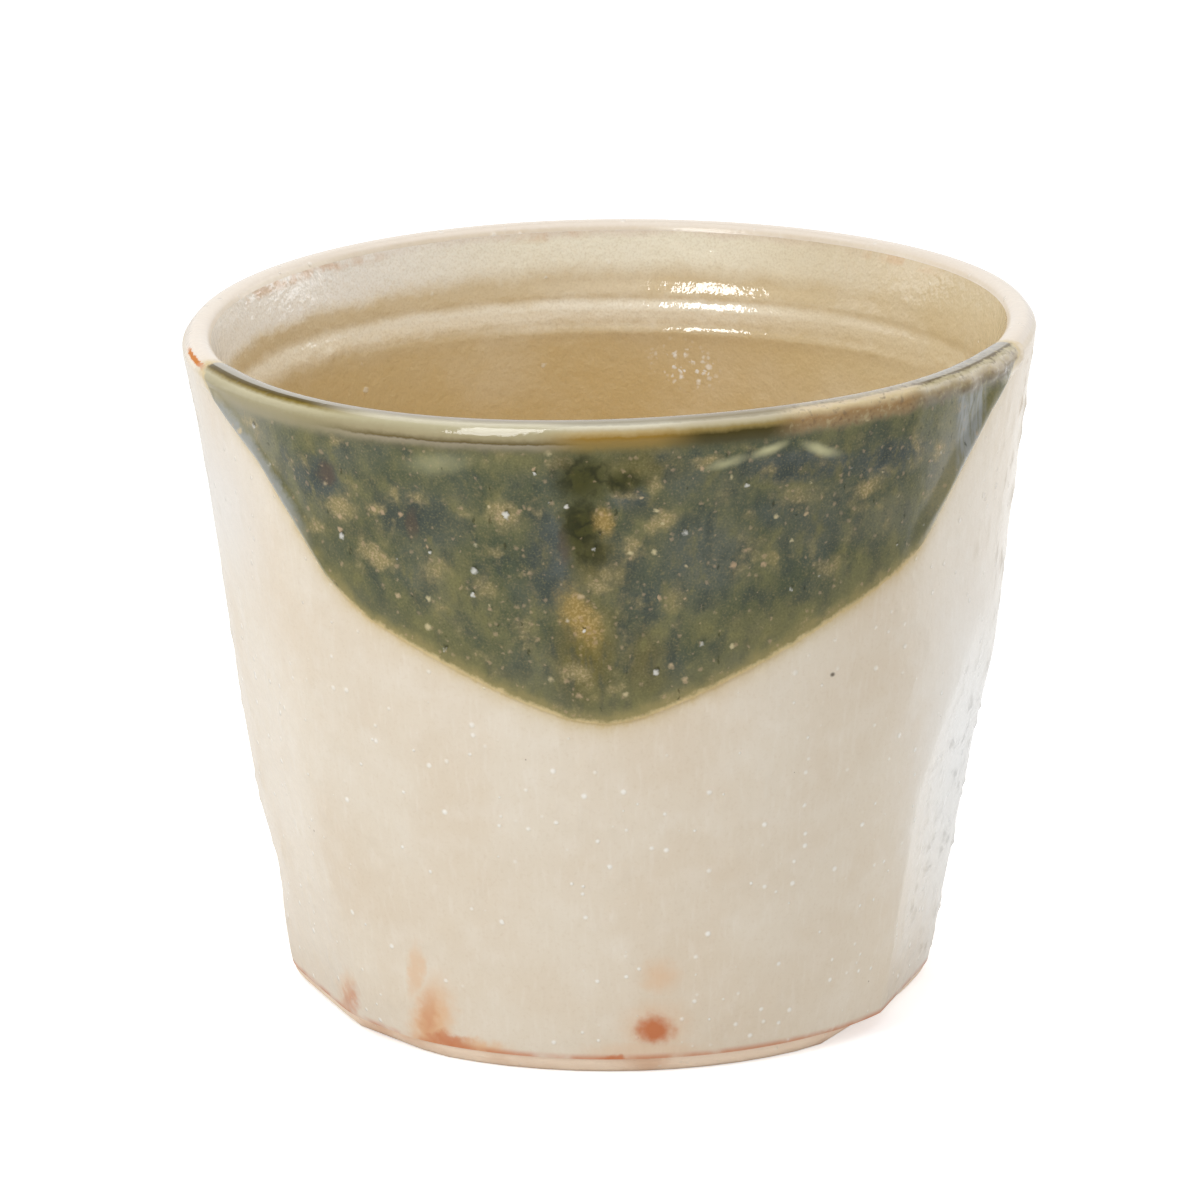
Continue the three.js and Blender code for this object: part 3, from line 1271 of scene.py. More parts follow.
class LinerGlaze(Finish):
    """Tan glaze inside the cup: glossy and finely speckled, deeper where it pools in the rings, with painted
    shade in the rings and towards the floor, painted light on the upper left and painted shade on the right.
    """

    pale: Colour = paint(250, 246, 236)
    # Painted light for the upper left of the inner wall.
    painted_light_rosy: Colour = paint(255, 251, 244)
    # Painted shade for the right of the inner wall.
    deep: Colour = paint(218, 199, 158)
    fleck: Colour = paint(192, 166, 122)
    # White of the painted glints.
    glint_white: Colour = paint(255, 253, 250)
    burnt: Colour = paint(220, 170, 118)
    # Bands by the way from the lip: painted shade from the pale upper wall down to the floor, darker grooves
    # under the rings where the glaze pools and shade is painted, and a painted light band on the ridge
    # between them.
    bands: Bands = (
        (-30.0, paint(206, 178, 122)),
        (-14.5, paint(214, 188, 138)),
        (-12.8, paint(220, 198, 156)),
        (-11.2, paint(250, 239, 216)),
        (-10.0, paint(250, 239, 216)),
        (-8.8, paint(226, 206, 168)),
        (-7.6, paint(226, 206, 168)),
        (-5.6, paint(253, 245, 222)),
        (-3.4, paint(253, 246, 224)),
        (-2.4, paint(240, 226, 208)),
    )
    blush: tuple[Patch, ...] = (
        Patch(x=-32.0, y=24.0, z=68.0, wide=14.0, deep=16.0, tall=4.0, soft=0.5),
        Patch(x=-7.0, y=40.0, z=68.6, wide=6.0, deep=6.0, tall=4.0, strength=0.7, soft=0.7),
        Patch(x=30.0, y=26.0, z=68.8, wide=8.0, deep=10.0, tall=4.0, strength=0.7, soft=0.7),
    )
    # Painted glints: a patch of white beads under the rings, a painted highlight for the key's reflection
    # broken up by the glaze's grain.
    glint_place: Patch = Patch(
        x=8.2, y=37.2, z=56.0, wide=4.8, deep=6.0, tall=3.2, tilt=-18, strength=0.9, soft=0.7
    )
    clouds: Mottle = Mottle(spacing=11.0, detail=3.0, low=0.4, high=0.75)
    flecks: Mottle = Mottle(spacing=0.24, detail=1.0, low=0.4, high=0.8)
    broken: Mottle = Mottle(spacing=2.6, detail=3.0, low=0.42, high=0.62)
    grains: Specks = Specks(spacing=2.4, radius=0.42, share=0.25)
    dots: Specks = Specks(spacing=2.4, radius=0.16, share=0.08, shift=(3.7, 1.9, 5.1))
    # The white beads of the painted glints.
    beads: Specks = Specks(spacing=0.62, radius=0.4, share=0.62)
    roughness: float = 0.1
    sway: float = 0.05
    specular: float = 1.0

    def write(self) -> None:
        """Writes the liner: bands with painted shade and light, painted light on the upper left, painted
        shade on the right, clouds, flecks, grains, white beads as painted glints, and the blush under the
        lip.
        """
        sheet = self.sheet
        from_lip = self.attribute("from_lip")
        way = sheet.swayed(from_lip, self.place, spacing=6.0, detail=2.0, amount=1.8)
        way = sheet.swayed(way, self.place, spacing=1.0, detail=2.0, amount=0.9)
        colour = sheet.gradient(way, self.bands)
        across = sheet.part(self.place, 0)
        # Painted light on the upper left of the inner wall.
        lit_upper_left = sheet.times(sheet.ramp(across, -4.0, -34.0), sheet.ramp(way, -8.0, -6.0))
        colour = sheet.tint(lit_upper_left, colour, self.painted_light_rosy)
        # Painted shade on the right of the inner wall, which the key lights.
        colour = sheet.tint(sheet.ramp(across, 8.0, 34.0), colour, self.deep, strength=0.9)
        clouds = self.laid(self.clouds, self.place)
        colour = sheet.tint(clouds, colour, self.pale, strength=0.15)
        colour = sheet.tint(self.laid(self.flecks, self.place), colour, self.fleck, strength=0.22)
        ragged = self.warped(spacing=0.6, amount=0.7)
        grains = self.laid(self.grains, ragged)
        colour = sheet.tint(grains, colour, self.pale, strength=0.5)
        colour = sheet.tint(self.laid(self.dots, ragged), colour, self.fleck, strength=0.7)
        under_lip = sheet.band(from_lip, low=-3.0, high=-2.4, soft=0.7)
        under_lip = sheet.times(under_lip, self.laid(self.broken, self.place))
        burnt = sheet.times(self.patches(self.blush, self.place), under_lip)
        colour = sheet.tint(burnt, colour, self.burnt, strength=0.5)
        # Painted glints under the rings.
        painted_glints = sheet.times(self.laid(self.beads, ragged), self.laid(self.glint_place, ragged))
        colour = sheet.tint(painted_glints, colour, self.glint_white)
        peel = sheet.noise(self.place, spacing=1.2, detail=2.0)
        ripple = sheet.noise(self.place, spacing=0.4, detail=1.0)
        height = sheet.times_plus(ripple, 0.35, sheet.times_plus(grains, 0.4, peel))
        sheet.put(self.shader.inputs["Base Color"], colour)
        sheet.put(self.shader.inputs["Roughness"], sheet.times_plus(clouds, self.sway, self.roughness))
        self.shader.inputs["Specular IOR Level"].default_value = self.specular
        self.bump(height, distance=0.1)


class CreamGlaze(Finish):
    """Cream glaze outside: satin, grainy, with rust flashes where the clay burnt through at the foot."""

    rust: Colour = paint(203, 122, 77)
    flame: Colour = paint(228, 187, 146)
    pit_brown: Colour = paint(86, 74, 60)
    # Painted sheen: whitish reflections of the room on the right facet and on the left side, laid as colour.
    sheen_white: Colour = paint(233, 237, 240)
    sheen_pale: Colour = paint(232, 228, 222)
    flames: tuple[Patch, ...] = (
        Patch(x=-27.2, z=3.4, wide=1.6, tall=6.0, tilt=-8, soft=0.7),
        Patch(x=-19.6, z=9.6, wide=1.3, tall=4.6, tilt=-4, strength=0.6, soft=0.7),
        Patch(x=-18.2, z=3.0, wide=3.2, tall=8.6, tilt=-8, strength=1.0, soft=0.7),
        Patch(x=5.2, z=11.0, wide=3.0, tall=2.8, strength=0.6),
        Patch(x=-14.5, z=1.8, wide=6.5, tall=1.9, strength=0.9, soft=0.7),
        Patch(x=3.5, z=2.5, wide=8.0, tall=1.8, strength=0.4, soft=0.7),
        Patch(x=4.7, z=5.2, wide=5.0, tall=4.2, strength=0.65),
    )
    burns: tuple[Patch, ...] = (
        Patch(x=4.7, z=5.1, wide=2.7, tall=2.4, strength=1.0, soft=0.7),
        Patch(x=0.6, z=1.7, wide=1.8, tall=0.9, strength=0.9, soft=0.7),
        Patch(x=22.6, z=1.7, wide=1.1, tall=0.7, strength=0.7, soft=0.7),
        Patch(x=-16.6, z=2.4, wide=3.4, tall=1.3, strength=0.8, soft=0.7),
        Patch(x=-18.4, z=4.2, wide=1.5, tall=4.6, tilt=-6, strength=0.55),
        Patch(x=-26.7, z=3.0, wide=1.5, tall=4.4, tilt=-10, strength=0.95, soft=0.7),
    )
    pit: Patch = Patch(x=22.4, y=-34.4, z=42.5, wide=0.36, deep=3.0, tall=0.36, soft=0.8, strength=0.85)
    painted_sheen_right: Patch = Patch(
        x=38.0, y=-10.0, z=20.0, wide=12.0, deep=40.0, tall=52.0, tilt=4, strength=0.75
    )
    painted_sheen_left: Patch = Patch(x=-40.0, y=-14.0, z=55.0, wide=9.0, deep=24.0, tall=13.0, strength=0.7)
    broken: Mottle = Mottle(spacing=5.0, detail=3.0, low=0.35, high=0.6)
    foot_line: tuple[float, float] = (2.5, 1.7)

    def write(self) -> None:
        """Writes the cream: its skin, a painted sheen on the two side facets, the flashes at the foot, and
        the line at its edge.
        """
        sheet = self.sheet
        edge = {"Place": self.place, "Above": self.attribute("above_edge")}
        above = sheet.use(self.effects.edge, edge).outputs["Above"]
        given = {"Place": self.place, "Above": above, "From Lip": self.attribute("from_lip")}
        skin = sheet.use(self.effects.cream, given)
        ragged = self.warped(spacing=1.2, amount=1.8)
        wavy = self.warped(spacing=3.0, amount=2.0)
        # Painted sheen on the right facet and the left side.
        colour = sheet.tint(self.laid(self.painted_sheen_right, wavy), skin.outputs["Color"], self.sheen_white)
        colour = sheet.tint(self.laid(self.painted_sheen_left, wavy), colour, self.sheen_pale)
        colour = sheet.tint(self.patches(self.flames, ragged), colour, self.flame)
        colour = sheet.tint(self.patches(self.burns, ragged), colour, self.rust)
        colour = sheet.tint(self.laid(self.pit, self.place), colour, self.pit_brown)
        line = sheet.ramp(sheet.part(self.place, 2), *self.foot_line)
        line = sheet.times(line, self.laid(self.broken, self.place))
        colour = sheet.tint(line, colour, self.rust, strength=0.75)
        sheet.put(self.shader.inputs["Base Color"], colour)
        sheet.put(self.shader.inputs["Roughness"], skin.outputs["Roughness"])
        self.bump(skin.outputs["Height"], distance=0.07)


class GreenGlaze(Finish):
    """Copper green glaze on the rim: glossy, mottled with tan and slate, pale where it breaks on the lip,
    with a painted sheen at its two ends and a painted reflection and highlight on the lip.
    """

    olive: Colour = paint(113, 112, 76)
    forest: Colour = paint(78, 85, 64)
    slate: Colour = paint(91, 97, 93)
    shade: Colour = paint(64, 72, 66)
    pool: Colour = paint(68, 67, 28)
    black_green: Colour = paint(38, 40, 14)
    thin: Colour = paint(160, 146, 96)
    bronze: Colour = paint(128, 122, 78)
    amber: Colour = paint(112, 100, 48)
    tan: Colour = paint(152, 138, 94)
    # Colour of the painted sheen at the ends of the green.
    sheen_haze: Colour = paint(148, 143, 120)
    tan_grit: Colour = paint(190, 170, 130)
    gold: Colour = paint(158, 132, 72)
    gold_grit: Colour = paint(192, 166, 110)
    mauve: Colour = paint(96, 78, 64)
    wisp: Colour = paint(194, 190, 148)
    # Grey of the painted sheen in the rolls at the two ends.
    sheen_grey: Colour = paint(158, 161, 160)
    pink: Colour = paint(190, 163, 130)
    sand: Colour = paint(206, 192, 150)
    # White grains, and the painted highlight of the pits.
    white: Colour = paint(226, 224, 216)
    front_lip: Bands = (
        (-0.9, paint(120, 106, 80)),
        (0.95, paint(174, 167, 148)),
        (1.2, paint(212, 206, 184)),
        (1.8, paint(187, 172, 137)),
        (2.1, paint(180, 158, 110)),
        (2.6, paint(148, 116, 48)),
        (3.0, paint(150, 124, 66)),
        (4.3, paint(120, 110, 66)),
    )
    stretches: tuple[Stretch, ...] = (
        Stretch(first=4.0, last=10.0, bands=(
            (-0.9, paint(124, 108, 82)),
            (0.95, paint(160, 150, 126)),
            (1.2, paint(191, 181, 156)),
            (1.8, paint(186, 174, 140)),
            (2.3, paint(152, 132, 78)),
            (2.8, paint(72, 62, 20)),
            (4.3, paint(86, 84, 60)),
        )),
        # Left of the front: the light band just below the dark crease is a painted reflection.
        Stretch(first=-2.0, last=-8.0, bands=(
            (-0.9, paint(130, 116, 92)),
            (0.35, paint(160, 151, 132)),
            (0.85, paint(205, 198, 175)),
            (1.5, paint(182, 174, 142)),
            (2.6, paint(162, 150, 116)),
            (3.15, paint(104, 90, 54)),
            (3.35, paint(156, 146, 122)),
            (4.1, paint(118, 111, 82)),
        )),
        # Far left: the grey at the inner edge is a painted reflection of the room, the dark olive line is
        # pooled glaze, and the pale band on the slope is a painted highlight.
        Stretch(first=-22.0, last=-31.0, bands=(
            (0.3, paint(156, 148, 130)),
            (0.45, paint(84, 68, 10)),
            (0.85, paint(90, 72, 10)),
            (1.1, paint(132, 114, 52)),
            (1.6, paint(184, 175, 140)),
            (2.7, paint(157, 147, 112)),
            (4.3, paint(138, 131, 104)),
        )),
        Stretch(first=15.5, last=20.0, bands=(
            (-1.1, paint(150, 140, 124)),
            (0.5, paint(168, 156, 134)),
            (0.75, paint(214, 197, 168)),
            (1.3, paint(211, 192, 152)),
            (2.3, paint(160, 129, 88)),
            (4.7, paint(142, 134, 106)),
        )),
        Stretch(first=29.5, last=32.0, bands=(
            (-1.2, paint(150, 146, 138)),
            (0.3, paint(165, 158, 144)),
            (0.5, paint(96, 78, 28)),
            (0.65, paint(96, 78, 28)),
            (0.9, paint(178, 166, 130)),
            (1.4, paint(196, 184, 156)),
            (2.2, paint(162, 144, 110)),
            (2.9, paint(134, 123, 100)),
            (4.8, paint(118, 120, 106)),
        )),
    )
    # Painted sheen at the two ends of the green, where the glaze turns away and shows the room, and a lighter
    # patch near the right end.
    sheen_patches: tuple[Patch, ...] = (
        Patch(x=-38.5, y=-20.0, z=64.5, wide=7.5, deep=24.0, tall=7.0, strength=0.9, soft=0.9),
        Patch(x=36.0, y=-20.0, z=60.5, wide=8.0, deep=24.0, tall=11.0, strength=0.9, soft=0.9),
        Patch(x=28.0, y=-32.0, z=58.6, wide=7.0, deep=20.0, tall=5.0, strength=0.35),
    )
    tans: tuple[Patch, ...] = (
        Patch(x=-10.4, z=61.2, wide=3.0, tall=2.8, strength=0.85),
        Patch(x=-23.0, z=55.2, wide=3.8, tall=1.7, tilt=-22),
        Patch(x=-26.8, z=59.8, wide=2.8, tall=2.2, tilt=-15),
        Patch(x=-29.4, z=57.0, wide=1.8, tall=1.4, strength=0.8),
        Patch(x=-23.0, z=60.4, wide=1.9, tall=1.4, strength=0.8),
        Patch(x=5.3, z=60.8, wide=3.2, tall=1.7, tilt=28),
        Patch(x=2.3, z=58.3, wide=1.6, tall=2.4, tilt=-10, strength=0.85),
        Patch(x=4.4, z=64.5, wide=1.7, tall=1.6, strength=0.85),
        Patch(x=9.8, z=66.9, wide=2.6, tall=1.1, tilt=16, strength=0.9),
        Patch(x=25.7, z=62.1, wide=2.7, tall=1.6, tilt=30, strength=0.95),
        Patch(x=33.0, z=64.1, wide=1.9, tall=2.2, strength=0.8),
        Patch(x=-3.2, z=44.6, wide=2.8, tall=2.0, strength=0.8),
        Patch(x=-17.2, z=54.7, wide=2.4, tall=2.8, strength=0.6),
        Patch(x=-12.4, z=53.3, wide=2.2, tall=2.6, strength=0.6),
        Patch(x=-8.5, z=49.6, wide=2.0, tall=2.0, strength=0.6),
        Patch(x=-0.8, z=54.1, wide=2.2, tall=1.8, strength=0.8),
        Patch(x=18.5, z=62.4, wide=4.6, tall=2.4, strength=0.5),
        Patch(x=21.7, z=54.4, wide=3.4, tall=2.2, strength=0.5),
        Patch(x=6.4, z=52.6, wide=1.8, tall=3.0, tilt=-14, strength=0.55),
        Patch(x=-4.6, z=67.0, wide=3.0, tall=1.3, strength=0.7),
    )
    glows: tuple[Patch, ...] = (
        Patch(x=-15.5, z=52.0, wide=6.0, tall=6.0, tilt=-30, strength=0.5),
        Patch(x=15.0, z=49.0, wide=9.0, tall=3.6, tilt=26, strength=0.6),
        Patch(x=-27.0, z=58.0, wide=6.0, tall=4.0, strength=0.4),
        Patch(x=34.0, z=60.5, wide=3.0, tall=5.0, strength=0.5),
        Patch(x=-7.0, z=66.6, wide=5.0, tall=2.2, strength=0.5),
    )
    ambers: tuple[Patch, ...] = (
        Patch(x=-2.2, z=47.0, wide=5.5, tall=9.0),
        Patch(x=3.4, z=46.0, wide=4.5, tall=6.5, strength=0.7),
        Patch(x=-1.4, z=57.0, wide=4.0, tall=7.0, strength=0.8),
        Patch(x=3.0, z=66.6, wide=7.0, tall=3.0, strength=0.8),
    )
    golds: tuple[Patch, ...] = (
        Patch(x=-2.8, z=50.6, wide=2.9, tall=6.2, tilt=28),
        Patch(x=-0.5, z=61.0, wide=1.8, tall=2.8, tilt=10),
    )
    slates: tuple[Patch, ...] = (
        Patch(x=19.0, z=65.6, wide=9.0, tall=2.6, tilt=-4, soft=0.7),
        Patch(x=28.0, z=64.6, wide=6.0, tall=3.0, soft=0.7),
        Patch(x=-29.0, z=62.4, wide=3.6, tall=3.4, soft=0.7),
        Patch(x=-18.8, z=60.4, wide=6.0, tall=4.6, strength=0.45, soft=0.7),
        Patch(x=-5.4, z=57.4, wide=3.2, tall=7.0, soft=0.7),
        Patch(x=9.4, z=57.0, wide=7.0, tall=7.0, strength=0.7, soft=0.7),
        Patch(x=1.8, z=63.2, wide=3.0, tall=1.8, soft=0.7),
        Patch(x=20.5, z=58.4, wide=5.0, tall=3.0, strength=0.5, soft=0.7),
    )
    shades: tuple[Patch, ...] = (
        Patch(x=-19.6, z=60.0, wide=6.4, tall=4.0, strength=0.95),
        Patch(x=-29.6, z=62.6, wide=3.0, tall=3.6, strength=0.8),
        Patch(x=-25.6, z=57.4, wide=3.2, tall=1.2, tilt=-10, strength=0.8),
        Patch(x=-6.8, z=57.0, wide=2.8, tall=9.0, strength=0.9),
        Patch(x=3.4, z=62.4, wide=3.8, tall=2.0, strength=0.9),
        Patch(x=1.6, z=54.0, wide=1.8, tall=7.0, tilt=-6, strength=0.8),
        Patch(x=18.0, z=65.2, wide=9.0, tall=1.9, tilt=-5, strength=0.9),
        Patch(x=28.0, z=65.0, wide=5.0, tall=2.2, strength=0.7),
        Patch(x=20.0, z=58.6, wide=4.4, tall=2.4, strength=0.35),
    )
    pools: tuple[Patch, ...] = (
        Patch(x=-2.6, z=65.4, wide=4.2, tall=4.6, soft=0.8),
        Patch(x=-2.8, z=60.2, wide=2.8, tall=5.8, soft=0.8),
        Patch(x=1.2, z=65.0, wide=3.4, tall=2.2, soft=0.9),
        Patch(x=-1.8, z=57.6, wide=2.3, tall=2.0, strength=0.85, soft=0.9),
    )
    stains: tuple[Patch, ...] = (
        Patch(x=-28.2, z=63.2, wide=1.4, tall=1.6, soft=0.7),
        Patch(x=-19.5, z=59.4, wide=0.9, tall=2.2, strength=0.8, soft=0.7),
        Patch(x=-4.4, z=58.6, wide=1.0, tall=3.0, strength=0.9, soft=0.7),
    )
    wisps: tuple[Patch, ...] = (
        Patch(x=15.8, z=67.7, wide=2.6, tall=0.8, tilt=18),
        Patch(x=20.9, z=67.1, wide=2.8, tall=0.9, tilt=-24),
        Patch(x=11.6, z=66.7, wide=3.2, tall=0.8, tilt=14, strength=0.7),
        Patch(x=-17.0, z=66.2, wide=5.0, tall=1.8, tilt=10, strength=0.4),
    )
    broad: Mottle = Mottle(spacing=4.5, detail=3.0, low=0.3, high=0.7)
    smoke: Mottle = Mottle(spacing=8.0, detail=2.0, low=0.4, high=0.75)
    streaks: Mottle = Mottle(spacing=1.8, detail=3.0, low=0.48, high=0.7)
    pale_runs: Mottle = Mottle(spacing=1.8, detail=3.0, low=0.48, high=0.25)
    clouds: Mottle = Mottle(spacing=3.2, detail=2.0, low=0.46, high=0.95)
    rough_right: tuple[float, float] = (15.5, 20.0)
    olive_left: tuple[float, float] = (-22.0, -31.0)
    edge_width: float = 0.6
    edge_roughness: float = 0.21
    roughness: float = 0.07
    specular: float = 0.5

    def write(self) -> None:
        """Writes the green, from its ground colour to the breaks on the lip and the thin lower edge."""
        sheet = self.sheet
        edge = {"Place": self.place, "Above": self.attribute("above_edge")}
        above = sheet.use(self.effects.edge, edge).outputs["Above"]
        from_lip = self.attribute("from_lip")
        ragged = self.warped(spacing=2.0, amount=1.6)
        tan = sheet.math("MAXIMUM", self.patches(self.tans, ragged), self.patches(self.golds, ragged))
        colour = self.warmed(self.thinned(self.ground(ragged), above), ragged)
        colour = self.sheened_ends(colour, above)
        colour, grains = self.specked(colour, tan)
        colour = self.lip(colour, from_lip)
        skin = sheet.use(self.effects.cream, {"Place": self.place, "Above": above, "From Lip": from_lip})
        cover = sheet.ramp(above, 0.0, self.edge_width)
        colour = sheet.mix(cover, skin.outputs["Color"], colour)
        roughness = sheet.times_plus(cover, self.roughness - self.edge_roughness, self.edge_roughness)
        peel = sheet.noise(self.place, spacing=1.6, detail=2.0)
        sheet.put(self.shader.inputs["Base Color"], colour)
        sheet.put(self.shader.inputs["Roughness"], roughness)
        sheet.put(self.shader.inputs["Specular IOR Level"], self.gloss(from_lip))
        self.bump(sheet.times_plus(grains, 0.5, peel), distance=0.05)

    def gloss(self, from_lip: Socket) -> Socket:
        """Dulls the gloss on the slope of the lip, and more on the olive line to the left.

        Args:
            from_lip: the way from the top of the lip.

        Returns:
            The specular level.
        """
        sheet = self.sheet
        slope = sheet.band(from_lip, low=1.2, high=3.0, soft=0.3)
        line = sheet.band(from_lip, low=0.4, high=0.95, soft=0.2)
        line = sheet.times(line, sheet.ramp(sheet.part(self.place, 0), *self.olive_left))
        return sheet.times_plus(line, -0.4, sheet.times_plus(slope, -0.06, self.specular))

    def ground(self, ragged: Socket) -> Socket:
        """Gives the ground: olive and forest green, slate clouds, streaks that ran down, a painted sheen at
        the ends, grain and stains.

        Args:
            ragged: the place on the cup, shifted unevenly.

        Returns:
            The colour.
        """
        sheet = self.sheet
        colour = sheet.mix(self.laid(self.broad, self.place), self.olive, self.forest)
        slate = sheet.times(self.laid(self.smoke, ragged), 0.6)
        slate = sheet.math("MAXIMUM", slate, self.patches(self.slates, ragged))
        colour = sheet.tint(slate, colour, self.slate, strength=0.95)
        colour = sheet.tint(self.patches(self.shades, ragged), colour, self.shade, strength=0.9)
        colour = sheet.tint(self.patches(self.glows, ragged), colour, self.bronze, strength=0.9)
        colour = sheet.tint(self.patches(self.ambers, ragged), colour, self.amber, strength=0.9)
        drawn = self.run_down()
        colour = sheet.tint(self.laid(self.streaks, drawn), colour, self.shade, strength=0.6)
        colour = sheet.tint(self.laid(self.pale_runs, drawn), colour, self.bronze, strength=0.6)
        # Painted sheen at the ends.
        colour = sheet.tint(self.patches(self.sheen_patches, ragged), colour, self.sheen_haze)
        grain = sheet.noise(self.place, spacing=0.22, detail=2.0)
        colour = sheet.tint(sheet.ramp(grain, 0.5, 0.8), colour, self.thin, strength=0.35)
        colour = sheet.tint(sheet.ramp(grain, 0.5, 0.2), colour, self.black_green, strength=0.3)
        return sheet.tint(self.patches(self.stains, ragged), colour, self.mauve, strength=0.6)

    def run_down(self) -> Socket:
        """Draws the place out down the cup, as the glaze ran: towards the tip of the green from both sides.

        Returns:
            The drawn place.
        """
        sheet = self.sheet
        across = sheet.part(self.place, 0)
        lean = sheet.times_plus(sheet.ramp(across, -14.0, 8.0), -0.7, 0.45)
        leaning = {"Vector": self.warped(spacing=2.0, amount=1.0), "Center": (0.0, 0.0, 55.0), "Angle": lean}
        turned = sheet.add("VectorRotate", leaning, rotation_type="Y_AXIS").outputs[0]
        return sheet.stretched(turned, across=1.0, upward=1.9)

    def gritty(self, colour: Socket, mask: Socket, ground: Colour, grit: Colour) -> Socket:
        """Lets a warmer colour and its grit through a colour, in a patch with a crumbled edge.

        Args:
            colour: the colour.
            mask: the mask of the patch.
            ground: the warmer colour.
            grit: the colour of the grit.

        Returns:
            The colour with the patch.
        """
        sheet = self.sheet
        crumbled = sheet.swayed(mask, self.place, spacing=0.9, detail=3.0, amount=0.8)
        patch = sheet.ramp(crumbled, 0.05, 1.0)
        colour = sheet.tint(patch, colour, ground, strength=0.85)
        grains = sheet.ramp(sheet.noise(self.place, spacing=0.26, detail=2.0), 0.42, 0.7)
        return sheet.tint(sheet.times(patch, grains), colour, grit, strength=0.7)

    def warmed(self, colour: Socket, ragged: Socket) -> Socket:
        """Lays the gritty tan and gold patches, the dark pools and the pale wisps on a colour.

        Args:
            colour: the colour.
            ragged: the place on the cup, shifted unevenly.

        Returns:
            The warmed colour.
        """
        sheet = self.sheet
        clouds = self.laid(self.clouds, ragged)
        tan = sheet.math("MAXIMUM", clouds, self.patches(self.tans, ragged))
        colour = self.gritty(colour, tan, self.tan, self.tan_grit)
        pools = self.patches(self.pools, ragged)
        colour = sheet.tint(pools, colour, self.pool)
        ridges = sheet.math("SUBTRACT", sheet.noise(ragged, spacing=2.2, detail=5.0), 0.47)
        veins = sheet.ramp(sheet.math("ABSOLUTE", ridges), 0.13, 0.0)
        colour = sheet.tint(sheet.times(pools, veins), colour, self.black_green, strength=0.8)
        wisps = self.patches(self.wisps, self.warped(spacing=1.5, amount=0.6))
        colour = sheet.tint(wisps, colour, self.wisp, strength=0.95)
        golds = self.patches(self.golds, self.warped(spacing=1.2, amount=0.9))
        return self.gritty(colour, golds, self.gold, self.gold_grit)

    def thinned(self, colour: Socket, above: Socket) -> Socket:
        """Warms a colour towards the thin lower edge.

        Args:
            colour: the colour.
            above: the distance above the edge.

        Returns:
            The warmed colour.
        """
        sheet = self.sheet
        uneven = sheet.swayed(above, self.place, spacing=2.2, detail=3.0, amount=2.4)
        colour = sheet.tint(sheet.ramp(uneven, 5.0, 0.6), colour, self.bronze, strength=0.4)
        return sheet.tint(sheet.ramp(uneven, 2.0, 0.0), colour, self.thin, strength=0.75)

    def sheened_ends(self, colour: Socket, above: Socket) -> Socket:
        """Paints a sheen on a colour in the thick rolls at the two ends of the lower edge: a grey reflection
        of the room, laid as colour.

        Args:
            colour: the colour.
            above: the distance above the edge.

        Returns:
            The colour with the painted sheen.
        """
        sheet = self.sheet
        across = sheet.part(self.place, 0)
        drawn = sheet.stretched(self.place, across=0.5, upward=3.0)
        streaked = sheet.ramp(sheet.noise(drawn, spacing=1.0, detail=2.0), 0.25, 0.6)
        left = sheet.band(above, low=0.3, high=1.2, soft=1.0)
        left = sheet.times(left, sheet.ramp(across, -29.0, -33.0))
        right = sheet.band(across, low=35.4, high=37.4, soft=0.8)
        right = sheet.times(right, sheet.ramp(above, 0.5, 1.6))
        # Painted sheen: a grey reflection laid in the rolls at both ends.
        ends = sheet.math("MAXIMUM", left, sheet.times(right, streaked))
        return sheet.tint(ends, colour, self.sheen_grey, strength=0.75)

    def specked(self, colour: Socket, tan: Socket) -> tuple[Socket, Socket]:
        """Lays grains and pits over a colour, thickest in the tan patches. The pits are a painted shadow
        beside white grains, whose white is a painted highlight.

        Args:
            colour: the colour.
            tan: the mask of the tan patches.

        Returns:
            The speckled colour and the mask of the grains.
        """
        sheet = self.sheet
        ragged = self.warped(spacing=0.45, amount=0.6)
        often = sheet.times_plus(tan, 0.4, 0.2)
        dust = Specks(spacing=0.7, radius=0.32, share=often, shift=(4.3, 1.1, 6.1))
        colour = sheet.tint(self.laid(dust, ragged), colour, self.pink, strength=0.4)
        drawn = sheet.stretched(sheet.vector("ADD", ragged, (7.9, 3.3, 1.7)), across=0.6, upward=1.6)
        ticks = Specks(spacing=1.3, radius=0.36, share=0.14)
        colour = sheet.tint(self.laid(ticks, drawn), colour, self.black_green, strength=0.55)
        # Dark crescents on one side of the white grains are a painted shadow, and the grains' white a painted
        # highlight, so that they look like lit pits.
        grit = Specks(spacing=1.5, radius=0.46, share=often)
        below = sheet.vector("SUBTRACT", ragged, (0.14, 0.0, 0.32))
        pit_shadows, pit_shadow_pick = grit.spots(sheet, self.effects, below)
        deep = sheet.times(pit_shadows, sheet.ramp(pit_shadow_pick, 0.6, 0.64))
        colour = sheet.tint(deep, colour, self.black_green, strength=0.7)
        grains, pick = grit.spots(sheet, self.effects, ragged)
        hue = sheet.mix(sheet.ramp(pick, 0.2, 0.4), self.pink, self.sand)
        hue = sheet.mix(sheet.ramp(pick, 0.5, 0.56), hue, self.white)
        return sheet.tint(grains, colour, hue, strength=0.8), grains

